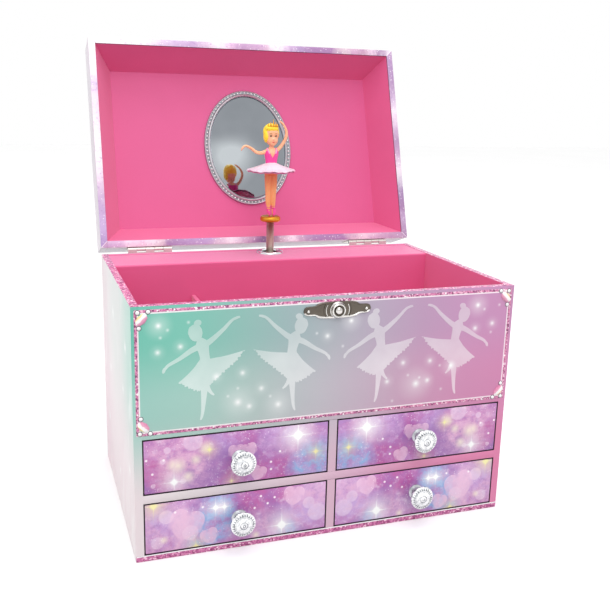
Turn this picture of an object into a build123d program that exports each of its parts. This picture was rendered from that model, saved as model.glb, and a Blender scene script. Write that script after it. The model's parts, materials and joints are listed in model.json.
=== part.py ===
from build123d import *
import math
import os

# Ballerina jewellery box: a paper-covered board case with four drawers, an open tray and a
# mirrored lid, with a spring-driven musical movement that turns a dancer on a flexible stem.
# Millimetres, +Z up, drawers facing -Y. The origin is the centre of the base's underside.
# The lid stands open on its hinge stops, as it does while the music plays.

# ---- driving dimensions: case ----
case_width = 250.0
case_depth = 160.0
case_height = 160.0
wall = 5.0
base_thickness = 4.0
shelf_bottom = 38.0
shelf_thickness = 5.5
tray_floor_bottom = 79.0
tray_floor_thickness = 5.0
divider_thickness = 5.5
tray_divider_x = -65.0
tray_divider_thickness = 3.0
tray_divider_top = 136.0
ledge_top = case_height - 0.4
ledge_thickness = 4.0
ledge_front_y = 37.0
ledge_edge_radius = 1.2
lock_z = 151.0
lock_plate_thickness = 1.0
lock_nail_x = 19.0
compartment_wall_thickness = 3.0

# ---- driving dimensions: lid ----
lid_depth = 30.0
lid_top_thickness = 3.0
lid_gap = 0.5
lid_open_angle = 108.0
liner_inset = 12.5
liner_recess = 1.0
liner_panel_thickness = 1.0
mirror_width = 73.0
mirror_height = 95.0
mirror_frame_width = 4.8
mirror_frame_thickness = 2.6
mirror_glass_thickness = 1.4
mirror_glass_clearance = 0.1
mirror_offset_y = -2.2

# ---- driving dimensions: hinges ----
hinge_x = 89.0
hinge_length = 33.0
hinge_knuckles = 5
hinge_axis_behind = 1.8
hinge_axis_above = 2.4
knuckle_radius = 1.6
hinge_pin_radius = 0.75
knuckle_bore_radius = 0.82
knuckle_gap = 0.2
leaf_thickness = 0.8
leaf_height = 13.0
hinge_nail_spacing = 11.0

# ---- driving dimensions: drawers ----
drawer_gap = 0.75
drawer_front_thickness = 4.0
drawer_wall = 2.5
drawer_bottom = 2.0
drawer_side_clearance = 1.0
drawer_back_clearance = 2.0
drawer_wall_drop = 3.0
drawer_corner_radius = 1.5
knob_x = 61.0
knob_crystal_radius = 7.6
knob_facets = 16

# ---- driving dimensions: dancer and stem ----
stem_y = 64.0
spring_radius = 3.0
spring_bore_radius = 2.25
spring_bottom = 150.0
plinth_bottom = 184.0
plinth_top = 188.2
plinth_radius = 7.75
eyelet_radius = 10.25
eyelet_hole_radius = 7.0
eyelet_tube_radius = 7.75
hip_radius = 4.0
waist_z = 228.0
head_z = 247.6
head_radius = 6.2
hair_y = 1.0
hair_z = 250.0
hair_radius = 5.9

# ---- driving dimensions: musical movement ----
barrel_z = 118.0
gear_module = 0.8
barrel_teeth = 40
crown_teeth = 20
cylinder_teeth = 20
fan_module = 0.5
fan_drive_teeth = 40
fan_pinion_teeth = 8
gear_front_y = 55.2
gear_back_y = 56.8
fan_gear_front_y = 50.0
fan_gear_back_y = 51.2
plate_front_y = 46.0
plate_thickness = 1.2
bedplate_thickness = 1.5
mesh_clearance = 0.1
comb_teeth = 18
comb_pitch = 0.74
comb_thickness = 0.8
comb_y = 65.0
arbor_radius = 1.5
cylinder_pivot_radius = 1.0
fan_pivot_radius = 0.6
pivot_clearance = 0.05
spindle_radius = 2.0
spindle_clearance = 0.08
bracket_bottom = 141.0
bracket_top = 143.0
bush_tube_radius = 4.45

# ---- values worked out from the driving dimensions ----
half_width = case_width / 2
half_depth = case_depth / 2
inner_x = half_width - wall
inner_y = half_depth - wall
shelf_top = shelf_bottom + shelf_thickness
tray_floor_top = tray_floor_bottom + tray_floor_thickness
ledge_bottom = ledge_top - ledge_thickness
compartment_back = ledge_front_y + compartment_wall_thickness
hinge_y = half_depth + hinge_axis_behind
hinge_z = case_height + hinge_axis_above
lid_bottom = case_height + lid_gap
lid_top = lid_bottom + lid_depth
lid_ceiling = lid_top - lid_top_thickness
liner_face = lid_ceiling - liner_panel_thickness
barrel_radius = gear_module * barrel_teeth / 2
crown_radius = gear_module * crown_teeth / 2
cylinder_x = -(barrel_radius + gear_module * cylinder_teeth / 2 + mesh_clearance)
fan_z = barrel_z + fan_module * (fan_drive_teeth + fan_pinion_teeth) / 2 + mesh_clearance
bedplate_front_y = inner_y - bedplate_thickness

os.makedirs("parts", exist_ok=True)


# ---- helpers ----
def block(x0, x1, y0, y1, z0, z1):
    """A rectangular solid between two corners."""
    return Pos(x0, y0, z0) * Box(x1 - x0, y1 - y0, z1 - z0, align=(Align.MIN,) * 3)


def along_y(sketch, y_front, y_back):
    """A sketch drawn in X and Z, as a solid between two depths."""
    return extrude(Plane.XZ.offset(-y_back) * sketch, amount=y_back - y_front)


def rod_y(x, z, radius, y_front, y_back):
    """A round rod along Y."""
    return along_y(Pos(x, z) * Circle(radius), y_front, y_back)


def rod_z(x, y, radius, z_bottom, z_top):
    """A round rod along Z."""
    return Pos(x, y, z_bottom) * Cylinder(
        radius, z_top - z_bottom, align=(Align.CENTER, Align.CENTER, Align.MIN)
    )


def rod_x(x0, x1, y, z, radius):
    """A round rod along X."""
    return Plane((x0, y, z), z_dir=(1, 0, 0)) * Cylinder(
        radius, x1 - x0, align=(Align.CENTER, Align.CENTER, Align.MIN)
    )


def turned(profile, x, y):
    """A profile of (radius, height) points turned about a vertical line."""
    face = make_face(Plane.XZ * Polyline(*profile, close=True))
    return Pos(x, y, 0) * revolve(face, Axis.Z)


def limb(start, end, start_radius, end_radius):
    """A tapered limb with round ends."""
    start = Vector(*start)
    end = Vector(*end)
    taper = Plane(start, z_dir=end - start) * Cone(
        start_radius, end_radius, (end - start).length, align=(Align.CENTER, Align.CENTER, Align.MIN)
    )
    return taper + Pos(start) * Sphere(start_radius) + Pos(end) * Sphere(end_radius)


def opened(shape):
    """A piece of the lid, built shut, turned back onto the hinge stops."""
    return shape.rotate(Axis((0, hinge_y, hinge_z), (1, 0, 0)), -lid_open_angle)


def save(name, *solids):
    """Writes one node, which may be a group of separate solids."""
    shape = solids[0] if len(solids) == 1 else Compound(children=list(solids))
    export_step(shape, f"parts/{name}.step")


def gear_outline(teeth, module, tooth_angle):
    """A gear's outline with slim trapezoid teeth, one of them centred at tooth_angle degrees."""
    pitch = 2 * math.pi / teeth
    root = module * (teeth / 2 - 1.1)
    tip = module * (teeth / 2 + 0.9)
    points = []
    for tooth in range(teeth):
        middle = math.radians(tooth_angle) + tooth * pitch
        corners = ((root, -0.25), (tip, -0.11), (tip, 0.11), (root, 0.25))
        for radius, offset in corners:
            angle = middle + offset * pitch
            points.append((radius * math.cos(angle), radius * math.sin(angle)))
    return Polygon(*points, align=None)


# ---- case ----
def make_case():
    front_y = -half_depth
    save("base_panel", block(-half_width, half_width, front_y, half_depth, 0, base_thickness))
    for name, x0 in (("left_side_panel", -half_width), ("right_side_panel", inner_x)):
        save(name, block(x0, x0 + wall, front_y, half_depth, base_thickness, case_height))
    back = block(-inner_x, inner_x, inner_y, half_depth, base_thickness, case_height)
    bush_bore = bush_tube_radius + 0.05
    save("back_panel", back - rod_y(0, barrel_z, bush_bore, inner_y - 1, half_depth + 1))
    save("front_panel", block(-inner_x, inner_x, front_y, -inner_y, tray_floor_bottom, case_height))
    save(
        "tray_floor",
        block(-inner_x, inner_x, -inner_y, inner_y, tray_floor_bottom, tray_floor_top),
    )
    save("drawer_shelf", block(-inner_x, inner_x, front_y, inner_y, shelf_bottom, shelf_top))
    half = divider_thickness / 2
    save(
        "drawer_dividers",
        block(-half, half, front_y, inner_y, base_thickness, shelf_bottom),
        block(-half, half, front_y, inner_y, shelf_top, tray_floor_bottom),
    )


def make_tray():
    ledge = block(-inner_x, inner_x, ledge_front_y, inner_y, ledge_bottom, ledge_top)
    front_edge = ledge.edges().filter_by(Axis.X).group_by(Axis.Y)[0].sort_by(Axis.Z)[-1]
    ledge = fillet(front_edge, ledge_edge_radius)
    hole = rod_z(0, stem_y, eyelet_tube_radius, ledge_bottom - 1, ledge_top + 1)
    save("ledge_panel", ledge - hole)
    save(
        "compartment_wall",
        block(-inner_x, inner_x, ledge_front_y, compartment_back, tray_floor_top, ledge_bottom),
    )
    half = tray_divider_thickness / 2
    save(
        "tray_divider",
        block(
            tray_divider_x - half,
            tray_divider_x + half,
            -inner_y,
            ledge_front_y,
            tray_floor_top,
            tray_divider_top,
        ),
    )


def make_lock():
    """A lens-shaped lock plate with a round boss."""
    plate_half = 22.0
    plate_rise = 4.2
    face = -half_depth
    lens = make_face(
        ThreePointArc((-plate_half, 0), (0, plate_rise), (plate_half, 0))
        + ThreePointArc((plate_half, 0), (0, -plate_rise), (-plate_half, 0))
    )
    outline = lens + Ellipse(10.5, 5.25) + Ellipse(17.0, 3.9)
    plate = along_y(Pos(0, lock_z) * outline, face - lock_plate_thickness, face)
    save("lock_plate", plate)
    profile = [(0, 0), (5.2, 0), (5.2, 0.7), (4.1, 1.0), (4.1, 2.2), (3.3, 2.9), (2.4, 2.2)]
    profile += [(1.5, 2.2), (1.1, 3.2), (0, 3.6)]
    boss = turned(profile, 0, 0)
    save("lock_boss", Plane((0, face - lock_plate_thickness, lock_z), z_dir=(0, -1, 0)) * boss)


def make_nails():
    """The two nails of the lock plate and the three of each hinge leaf on the case."""
    lock_face = -half_depth - lock_plate_thickness
    leaf_face = half_depth + leaf_thickness
    nail_z = hinge_z - 8.0
    nails = [rod_y(x, lock_z, 0.9, lock_face - 0.6, lock_face) for x in (-lock_nail_x, lock_nail_x)]
    for hinge in (-hinge_x, hinge_x):
        for offset in (-hinge_nail_spacing, 0, hinge_nail_spacing):
            nails.append(rod_y(hinge + offset, nail_z, 1.1, leaf_face, leaf_face + 0.5))
    save("case_nails", *nails)


# ---- lid ----
def make_lid():
    save(
        "lid_top_panel",
        opened(block(-half_width, half_width, -half_depth, half_depth, lid_ceiling, lid_top)),
    )
    for name, y0 in (("lid_front_wall", -half_depth), ("lid_rear_wall", inner_y)):
        save(name, opened(block(-inner_x, inner_x, y0, y0 + wall, lid_bottom, lid_ceiling)))
    sides = [
        opened(block(x0, x0 + wall, -half_depth, half_depth, lid_bottom, lid_ceiling))
        for x0 in (-half_width, inner_x)
    ]
    save("lid_side_walls", *sides)
    face_x = inner_x - liner_inset
    face_y = inner_y - liner_inset
    panel = block(-face_x, face_x, -face_y, face_y, liner_face, lid_ceiling)
    save("lid_liner_panel", opened(panel))
    save("lid_liner_slopes", *[opened(slope) for slope in liner_slopes(face_x, face_y)])


def liner_slopes(face_x, face_y):
    """The four sloping cards between the rim and the lining panel, mitred at the corners."""
    slope_bottom = lid_bottom + liner_recess
    slope_height = lid_ceiling - slope_bottom
    hollow = loft(
        [
            Pos(0, 0, slope_bottom) * Rectangle(2 * inner_x, 2 * inner_y),
            Pos(0, 0, liner_face) * Rectangle(2 * face_x, 2 * face_y),
        ]
    )
    slopes = []
    for side in range(4):
        along_x = side % 2 == 0
        long_half, near, far = (inner_x, face_y, inner_y) if along_x else (inner_y, face_x, inner_x)
        short_half = long_half - liner_inset
        trapezoid = Polygon(
            (-long_half, -far), (long_half, -far), (short_half, -near), (-short_half, -near), align=None
        )
        prism = extrude(Pos(0, 0, slope_bottom) * trapezoid, amount=slope_height)
        slopes.append((Rot(0, 0, 90 * side) * prism) - hollow)
    return slopes


def make_mirror():
    place = Pos(0, mirror_offset_y)
    outer = Ellipse(mirror_width / 2, mirror_height / 2)
    opening = Ellipse(mirror_width / 2 - mirror_frame_width, mirror_height / 2 - mirror_frame_width)
    frame = extrude(
        Pos(0, 0, liner_face - mirror_frame_thickness) * (place * (outer - opening)),
        amount=mirror_frame_thickness,
    )
    pane = Ellipse(
        mirror_width / 2 - mirror_frame_width - mirror_glass_clearance,
        mirror_height / 2 - mirror_frame_width - mirror_glass_clearance,
    )
    glass = extrude(
        Pos(0, 0, liner_face - mirror_glass_thickness) * (place * pane), amount=mirror_glass_thickness
    )
    save("mirror_frame", opened(frame))
    save("mirror_glass", opened(glass))


# ---- hinges ----
def hinge_half(x, own_knuckles, leaf_z0, leaf_z1):
    """One leaf of a hinge, with every other knuckle of the barrel."""
    half = hinge_length / 2
    step = hinge_length / hinge_knuckles
    leaf_back = half_depth + leaf_thickness
    leaf = block(x - half, x + half, half_depth, leaf_back, leaf_z0, leaf_z1)
    for knuckle in range(hinge_knuckles):
        start = x - half + knuckle * step
        x0 = start + knuckle_gap / 2
        x1 = start + step - knuckle_gap / 2
        if knuckle in own_knuckles:
            near = min(hinge_z, leaf_z0)
            far = max(hinge_z, leaf_z1)
            tab = block(x0, x1, half_depth, leaf_back, near, far)
            leaf += tab + rod_x(x0, x1, hinge_y, hinge_z, knuckle_radius)
    return leaf - rod_x(x - half - 1, x + half + 1, hinge_y, hinge_z, knuckle_bore_radius)


def make_hinges():
    case_leaves = []
    lid_leaves = []
    pins = []
    clear = knuckle_radius + 0.4
    for x in (-hinge_x, hinge_x):
        case_leaves.append(hinge_half(x, (0, 2, 4), hinge_z - leaf_height, hinge_z - clear))
        lid_leaves.append(opened(hinge_half(x, (1, 3), hinge_z + clear, hinge_z + leaf_height)))
        half = hinge_length / 2
        pins.append(rod_x(x - half, x + half, hinge_y, hinge_z, hinge_pin_radius))
    save("hinge_case_leaves", *case_leaves)
    save("hinge_lid_leaves", *lid_leaves)
    save("hinge_pins", *pins)


# ---- drawers ----
def make_drawer(tag, side, z0, z1):
    """A drawer that fills one opening, with its own front, walls, bottom and knob."""
    inner_edge = divider_thickness / 2
    x0, x1 = sorted((side * (inner_edge + drawer_gap), side * (inner_x - drawer_gap)))
    front_y = -half_depth
    front_back = front_y + drawer_front_thickness
    front_z0 = z0 + drawer_gap
    front_z1 = z1 - drawer_gap
    centre_x = side * knob_x
    centre_z = (front_z0 + front_z1) / 2
    front = block(x0, x1, front_y, front_back, front_z0, front_z1)
    front = fillet(front.edges().filter_by(Axis.Y), drawer_corner_radius)
    knob_bore = 1.55
    save(f"drawer_{tag}_front", front - rod_y(centre_x, centre_z, knob_bore, front_y - 1, front_back + 1))

    back_y = inner_y - drawer_back_clearance
    wall_x0 = x0 + drawer_side_clearance
    wall_x1 = x1 - drawer_side_clearance
    floor_z = front_z0 + drawer_bottom
    top_z = front_z1 - drawer_wall_drop
    save(
        f"drawer_{tag}_walls",
        block(wall_x0, wall_x0 + drawer_wall, front_back, back_y, floor_z, top_z),
        block(wall_x1 - drawer_wall, wall_x1, front_back, back_y, floor_z, top_z),
        block(wall_x0 + drawer_wall, wall_x1 - drawer_wall, back_y - drawer_wall, back_y, floor_z, top_z),
    )
    save(f"drawer_{tag}_bottom", block(wall_x0, wall_x1, front_back, back_y, front_z0, floor_z))
    make_knob(tag, centre_x, centre_z, front_y)


def make_knob(tag, x, z, front_y):
    """A faceted clear knob on a turned metal collar, with its screw through the drawer front."""
    flange_radius = 5.0
    flange_height = 0.8
    cone_top = 1.6
    collar_radius = 3.6
    collar_height = 3.5
    crystal_height = 10.0
    screw_radius = 1.5
    head_radius = 3.0
    head_height = 1.4
    screw_length = drawer_front_thickness + head_height
    seat = Plane((x, front_y, z), z_dir=(0, -1, 0))
    upward = (Align.CENTER, Align.CENTER, Align.MIN)
    outline = [(0, 0), (flange_radius, 0), (flange_radius, flange_height)]
    outline += [(collar_radius, cone_top), (collar_radius, collar_height), (0, collar_height)]
    collar = turned(outline, 0, 0)
    head = Pos(0, 0, -screw_length) * Cylinder(head_radius, head_height, align=upward)
    shank = Pos(0, 0, -drawer_front_thickness) * Cylinder(screw_radius, drawer_front_thickness, align=upward)
    save(f"knob_{tag}_collar", seat * (collar + head + shank))
    rings = ((4.2, 0.0), (knob_crystal_radius, 6.0), (knob_crystal_radius, 7.2), (4.4, crystal_height))
    crystal = None
    for (lower, low), (upper, high) in zip(rings, rings[1:]):
        stage = loft(
            [
                Pos(0, 0, collar_height + low) * RegularPolygon(lower, knob_facets),
                Pos(0, 0, collar_height + high) * RegularPolygon(upper, knob_facets),
            ]
        )
        crystal = stage if crystal is None else crystal + stage
    save(f"knob_{tag}_crystal", seat * crystal)


# ---- musical movement ----
def make_movement_frame():
    """Bedplate on the back panel, with pillars, the stem's bracket and the comb's block."""
    plate_bottom = 96.0
    plate_right_x = 24.0
    pillar_radius = 2.0
    corner_radius = 5.0
    plate = block(-62, plate_right_x, bedplate_front_y, inner_y, plate_bottom, 146)
    pillars = [(19.5, barrel_z), (-12.0, 100.5), (-12.0, 136.5), (-36.0, 104.0)]
    plate_back_y = plate_front_y + plate_thickness
    for x, z in pillars:
        plate += rod_y(x, z, pillar_radius, plate_back_y, bedplate_front_y)
    plate += block(-8, 8, 55, bedplate_front_y, bracket_bottom, bracket_top)
    plate += block(-58, -44, 57, bedplate_front_y, 110, barrel_z - comb_thickness / 2)
    bores = (
        (0, barrel_z, arbor_radius + pivot_clearance),
        (cylinder_x, barrel_z, cylinder_pivot_radius + pivot_clearance),
        (cylinder_x, fan_z, fan_pivot_radius + pivot_clearance),
    )
    front = block(-40, plate_right_x, plate_front_y, plate_back_y, plate_bottom, 141)
    front = fillet(front.edges().filter_by(Axis.Y), corner_radius)
    for x, z, radius in bores:
        plate -= rod_y(x, z, radius, bedplate_front_y - 1, inner_y + 1)
        front -= rod_y(x, z, radius, plate_front_y - 1, plate_back_y + 1)
    plate -= rod_z(0, stem_y, spindle_radius + spindle_clearance, bracket_bottom - 1, bracket_top + 1)
    save("movement_bedplate", plate)
    save("movement_front_plate", front)


def make_comb():
    """A steel comb with a slotted free edge that ends just short of the pins."""
    pin_reach = 7.2
    tooth_length = 11.0
    comb_length = 24.0
    bass_cut = 3.0
    slot_width = 0.3
    tooth_half = (comb_pitch - slot_width) / 2
    tip_x = cylinder_x - pin_reach
    root_x = tip_x - tooth_length
    heel_x = tip_x - comb_length
    half = comb_teeth * comb_pitch / 2
    bottom = barrel_z - comb_thickness / 2
    top = barrel_z + comb_thickness / 2
    comb = block(heel_x, root_x, comb_y - half, comb_y + half, bottom, top)
    for tooth in range(comb_teeth):
        y = comb_y - half + (tooth + 0.5) * comb_pitch
        start = root_x - bass_cut * tooth / comb_teeth
        comb += block(start, tip_x, y - tooth_half, y + tooth_half, bottom, top)
        slot_end = root_x + 1.0
        if tooth < comb_teeth - 1:
            comb -= block(start, slot_end, y + tooth_half, y + tooth_half + slot_width, bottom - 1, top + 1)
    save("comb", comb)


def make_barrel():
    """The spring barrel and its great wheel, which turn together on the winding arbor."""
    housing_radius = 14.0
    housing_back_y = 71.5
    bore_front_y = 59.5
    wheel = along_y(
        Pos(0, barrel_z) * gear_outline(barrel_teeth, gear_module, 0), gear_front_y, gear_back_y
    )
    housing = rod_y(0, barrel_z, housing_radius, gear_back_y, housing_back_y)
    pivot = rod_y(0, barrel_z, arbor_radius, plate_front_y, gear_front_y)
    bore_radius = arbor_radius + pivot_clearance
    arbor_bore = rod_y(0, barrel_z, bore_radius, bore_front_y, housing_back_y + 0.5)
    save("spring_barrel", wheel + housing + pivot - arbor_bore)


def make_key():
    """The winding key and its arbor, which runs through the back of the case."""
    arbor_front_y = 60.0
    boss_radius = 3.5
    boss_front_y = 82.0
    boss_back_y = 92.0
    wing_y = 96.0
    wing_thickness = 2.0
    wing_hole_x = 7.0
    wing_hole_radius = 2.6
    bush_flange_radius = 8.0
    arbor = rod_y(0, barrel_z, arbor_radius, arbor_front_y, boss_front_y + 2)
    boss = rod_y(0, barrel_z, boss_radius, boss_front_y, boss_back_y)
    outline = Pos(0, wing_y) * RectangleRounded(26, 16, 6)
    for x in (-wing_hole_x, wing_hole_x):
        outline -= Pos(x, wing_y) * Circle(wing_hole_radius)
    wings = extrude(Pos(0, 0, barrel_z - wing_thickness / 2) * outline, amount=wing_thickness)
    save("winding_key", arbor + boss + wings)
    tube = rod_y(0, barrel_z, bush_tube_radius, inner_y, half_depth)
    tube += rod_y(0, barrel_z, bush_flange_radius, half_depth, half_depth + 1)
    bore_radius = arbor_radius + 2 * pivot_clearance
    save("key_bush", tube - rod_y(0, barrel_z, bore_radius, inner_y - 1, half_depth + 2))


def make_cylinder():
    """The pinned cylinder, with the wheel that drives it and the wheel that drives the fan."""
    radius = 6.2
    front_y = 58.0
    back_y = 72.0
    hub_radius = 3.0
    pin_radius = 0.3
    pin_height = 0.6
    pin_root = 0.3
    pins_per_row = 3
    row_turn = 137.5
    first_pin = 25.0
    centre = Pos(cylinder_x, barrel_z)
    first_tooth = 180 / cylinder_teeth
    drive_wheel = centre * gear_outline(cylinder_teeth, gear_module, first_tooth)
    fan_wheel = centre * gear_outline(fan_drive_teeth, fan_module, 90)
    body = rod_y(cylinder_x, barrel_z, radius, front_y, back_y)
    body += along_y(drive_wheel, gear_front_y, gear_back_y)
    body += rod_y(cylinder_x, barrel_z, hub_radius, fan_gear_back_y, front_y)
    body += along_y(fan_wheel, fan_gear_front_y, fan_gear_back_y)
    body += rod_y(cylinder_x, barrel_z, cylinder_pivot_radius, plate_front_y, inner_y)
    for row in range(comb_teeth):
        y = comb_y + (row - (comb_teeth - 1) / 2) * comb_pitch
        for turn in range(pins_per_row):
            angle = row_turn * row + 360 / pins_per_row * turn + first_pin
            around = Location((cylinder_x, y, barrel_z), (0, angle, 0))
            pin = Pos(0, 0, radius - pin_root) * Cylinder(
                pin_radius, pin_height + pin_root, align=(Align.CENTER, Align.CENTER, Align.MIN)
            )
            body += around * pin
    save("pin_cylinder", body)


def make_fan():
    """The governor: a small pinion with two air blades."""
    hub_radius = 1.6
    hub_front_y = 51.8
    hub_back_y = 54.6
    blade_half = 5.0
    blade_half_thickness = 0.3
    first_tooth = 90 + 180 / fan_pinion_teeth
    centre = Pos(cylinder_x, fan_z)
    fan = rod_y(cylinder_x, fan_z, fan_pivot_radius, plate_front_y, inner_y)
    fan += along_y(
        centre * gear_outline(fan_pinion_teeth, fan_module, first_tooth), fan_gear_front_y, fan_gear_back_y
    )
    fan += rod_y(cylinder_x, fan_z, hub_radius, hub_front_y, hub_back_y)
    fan += block(
        cylinder_x - blade_half,
        cylinder_x + blade_half,
        hub_front_y + 0.2,
        hub_back_y - 0.2,
        fan_z - blade_half_thickness,
        fan_z + blade_half_thickness,
    )
    save("governor_fan", fan)


def make_spindle():
    """The upright spindle: a crown wheel that rides on the great wheel, and the rod inside the spring."""
    tooth_length = 1.4
    rim = 0.8
    peg_half = 0.42
    wheel_thickness = 2.0
    collar_radius = 3.5
    collar_gap = 0.4
    upper_collar_z = 143.1
    spring_seat_radius = 2.9
    spring_seat_z = 147.6
    spindle_top = 165.0
    tooth_bottom = barrel_z + barrel_radius
    wheel_bottom = tooth_bottom + tooth_length
    wheel_top = wheel_bottom + wheel_thickness
    collar_top = bracket_bottom - collar_gap
    spindle = rod_z(0, stem_y, crown_radius + rim, wheel_bottom, wheel_top)
    spindle += rod_z(0, stem_y, collar_radius, wheel_top, collar_top)
    spindle += rod_z(0, stem_y, spindle_radius, collar_top, spindle_top)
    spindle += rod_z(0, stem_y, collar_radius, upper_collar_z, upper_collar_z + 2)
    spindle += rod_z(0, stem_y, spring_seat_radius, spring_seat_z, spring_bottom)
    pitch = 360 / crown_teeth
    for tooth in range(crown_teeth):
        peg = block(-peg_half, peg_half, -crown_radius - rim, rim - crown_radius, tooth_bottom, wheel_bottom)
        spindle += Pos(0, stem_y, 0) * Rot(0, 0, (tooth + 0.5) * pitch) * peg
    save("dancer_spindle", spindle)


# ---- stem, dancer ----
def make_stem():
    eyelet_height = 2.0
    eyelet_rounding = 1.3
    eyelet = rod_z(0, stem_y, eyelet_radius, ledge_top, ledge_top + eyelet_height)
    eyelet += rod_z(0, stem_y, eyelet_tube_radius, ledge_bottom, ledge_top)
    eyelet = fillet(eyelet.edges().sort_by(Axis.Z)[-1], eyelet_rounding)
    hole = rod_z(0, stem_y, eyelet_hole_radius, ledge_bottom - 1, ledge_top + eyelet_height + 1)
    save("stem_eyelet", eyelet - hole)
    spring = rod_z(0, stem_y, spring_radius, spring_bottom, plinth_bottom)
    save("stem_spring", spring - rod_z(0, stem_y, spring_bore_radius, spring_bottom - 1, plinth_bottom + 1))


def make_plinth():
    """The round plinth on a short stub that plugs into the spring."""
    rounding = 0.5
    stub_radius = 2.0
    stub_bottom = 178.0
    plinth = rod_z(0, stem_y, plinth_radius, plinth_bottom, plinth_top)
    plinth = fillet(plinth.edges().filter_by(GeomType.CIRCLE), rounding)
    save("dancer_plinth", plinth + rod_z(0, stem_y, stub_radius, stub_bottom, plinth_bottom))


def make_figure():
    """The dancer without her skirt: legs, body and head, one arm held out and one raised."""
    arm_root = 1.5
    arm_middle = 1.2
    arm_tip = 1.0
    figure = turned(
        [
            (0, 219),
            (hip_radius, 220.5),
            (hip_radius, waist_z),
            (3.4, 230.5),
            (3.9, 234),
            (3.4, 237),
            (1.7, 238.5),
            (1.7, 242),
            (0, 242),
        ],
        0,
        0,
    )
    for side in (-1, 1):
        toe = (side * 1.6, 0, plinth_top + 1.4)
        knee = (side * 1.9, 0, 205)
        hip = (side * 2.1, 0, 220)
        figure += limb(toe, knee, 1.4, 2.2)
        figure += limb(knee, hip, 2.2, 2.5)
    figure += Pos(0, 0, head_z) * Sphere(head_radius)
    figure += limb((0, 0, head_z), (0, hair_y, hair_z), head_radius - 0.2, hair_radius - 0.1)
    elbow = (-13.0, -1.0, 236.5)
    figure += limb((-3.6, 0, 235.5), elbow, arm_root, arm_middle)
    figure += limb(elbow, (-24.0, -1.5, 237.5), arm_middle, arm_tip)
    elbow = (9.8, -0.5, 247.5)
    figure += limb((3.6, 0, 235.5), elbow, arm_root, arm_middle)
    figure += limb(elbow, (5.0, 0, 258.5), arm_middle, arm_tip)
    save("dancer_figure", Pos(0, stem_y, 0) * figure)


def make_skirt():
    """A shallow cone round her waist."""
    skirt_radius = 18.0
    bend_radius = 11.0
    thickness = 1.4
    inner = hip_radius + 0.05
    edge_z = waist_z - 7.0
    bend_z = waist_z - 4.3
    top_z = waist_z - thickness
    outline = [(inner, top_z), (bend_radius, bend_z), (skirt_radius, edge_z)]
    outline += [(radius, z + thickness) for radius, z in reversed(outline)]
    save("dancer_skirt", turned(outline, 0, stem_y))


def make_tiara():
    """A low band over her hair with five points at the front."""
    band_z = 253.0
    band_radius = 5.0
    band_height = 2.0
    point_step = 26
    ring = Cylinder(band_radius + 0.5, band_height) - Cylinder(band_radius - 0.7, band_height + 0.2)
    tiara = Pos(0, stem_y, band_z) * ring
    for step, height in ((-2, 3.0), (-1, 4.6), (0, 6.2), (1, 4.6), (2, 3.0)):
        angle = math.radians(-90 + point_step * step)
        place = Pos(band_radius * math.cos(angle), stem_y + band_radius * math.sin(angle), band_z)
        tiara += place * Cone(0.75, 0.2, height, align=(Align.CENTER, Align.CENTER, Align.MIN))
    head = Pos(0, stem_y, head_z) * Sphere(head_radius + 0.1)
    head += Pos(0, stem_y + hair_y, hair_z) * Sphere(hair_radius)
    save("dancer_tiara", tiara - head)


make_case()
make_tray()
make_lock()
make_nails()
make_lid()
make_mirror()
make_hinges()
openings = (("lower", base_thickness, shelf_bottom), ("upper", shelf_top, tray_floor_bottom))
for row, low, high in openings:
    make_drawer(f"{row}_left", -1, low, high)
    make_drawer(f"{row}_right", 1, low, high)
make_movement_frame()
make_comb()
make_barrel()
make_key()
make_cylinder()
make_fan()
make_spindle()
make_stem()
make_plinth()
make_figure()
make_skirt()
make_tiara()
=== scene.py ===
import json
import math
from functools import reduce

import bmesh
import bpy
import numpy as np
from mathutils import Matrix, Vector, geometry, noise


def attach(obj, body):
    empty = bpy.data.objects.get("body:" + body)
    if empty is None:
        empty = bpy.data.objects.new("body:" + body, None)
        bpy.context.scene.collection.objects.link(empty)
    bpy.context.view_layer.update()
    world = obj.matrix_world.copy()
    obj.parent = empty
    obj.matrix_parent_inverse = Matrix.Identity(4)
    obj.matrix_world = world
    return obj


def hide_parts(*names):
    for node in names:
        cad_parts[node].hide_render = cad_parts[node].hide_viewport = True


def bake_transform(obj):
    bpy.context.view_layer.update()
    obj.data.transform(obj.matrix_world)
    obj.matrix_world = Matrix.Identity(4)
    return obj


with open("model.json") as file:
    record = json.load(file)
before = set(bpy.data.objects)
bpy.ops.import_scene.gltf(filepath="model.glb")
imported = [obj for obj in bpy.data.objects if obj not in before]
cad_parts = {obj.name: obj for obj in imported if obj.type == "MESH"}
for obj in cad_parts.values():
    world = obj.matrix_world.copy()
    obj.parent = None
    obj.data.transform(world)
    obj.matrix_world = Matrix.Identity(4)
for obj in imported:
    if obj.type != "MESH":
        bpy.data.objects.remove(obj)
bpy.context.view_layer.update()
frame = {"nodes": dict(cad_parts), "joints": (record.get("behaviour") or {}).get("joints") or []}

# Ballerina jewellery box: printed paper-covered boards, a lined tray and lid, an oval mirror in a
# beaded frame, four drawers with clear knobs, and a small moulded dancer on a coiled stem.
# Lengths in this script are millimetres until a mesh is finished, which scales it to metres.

MM = 0.001
nodes = frame["nodes"]
joints = {joint["name"]: joint for joint in frame["joints"]}
drawers = [f"{row}_{side}" for row in ("lower", "upper") for side in ("left", "right")]

# ---- the lid's pieces are drawn shut, and lid_place stands them open on the hinge ----
hinge_point = Vector(joints["lid_hinge"]["pos_m"])
open_angle = math.radians(joints["lid_hinge"]["range_deg"][1])
lid_place = (
    Matrix.Translation(hinge_point)
    @ Matrix.Rotation(-open_angle, 4, "X")
    @ Matrix.Translation(-hinge_point)
)
still = Matrix.Identity(4)


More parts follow.
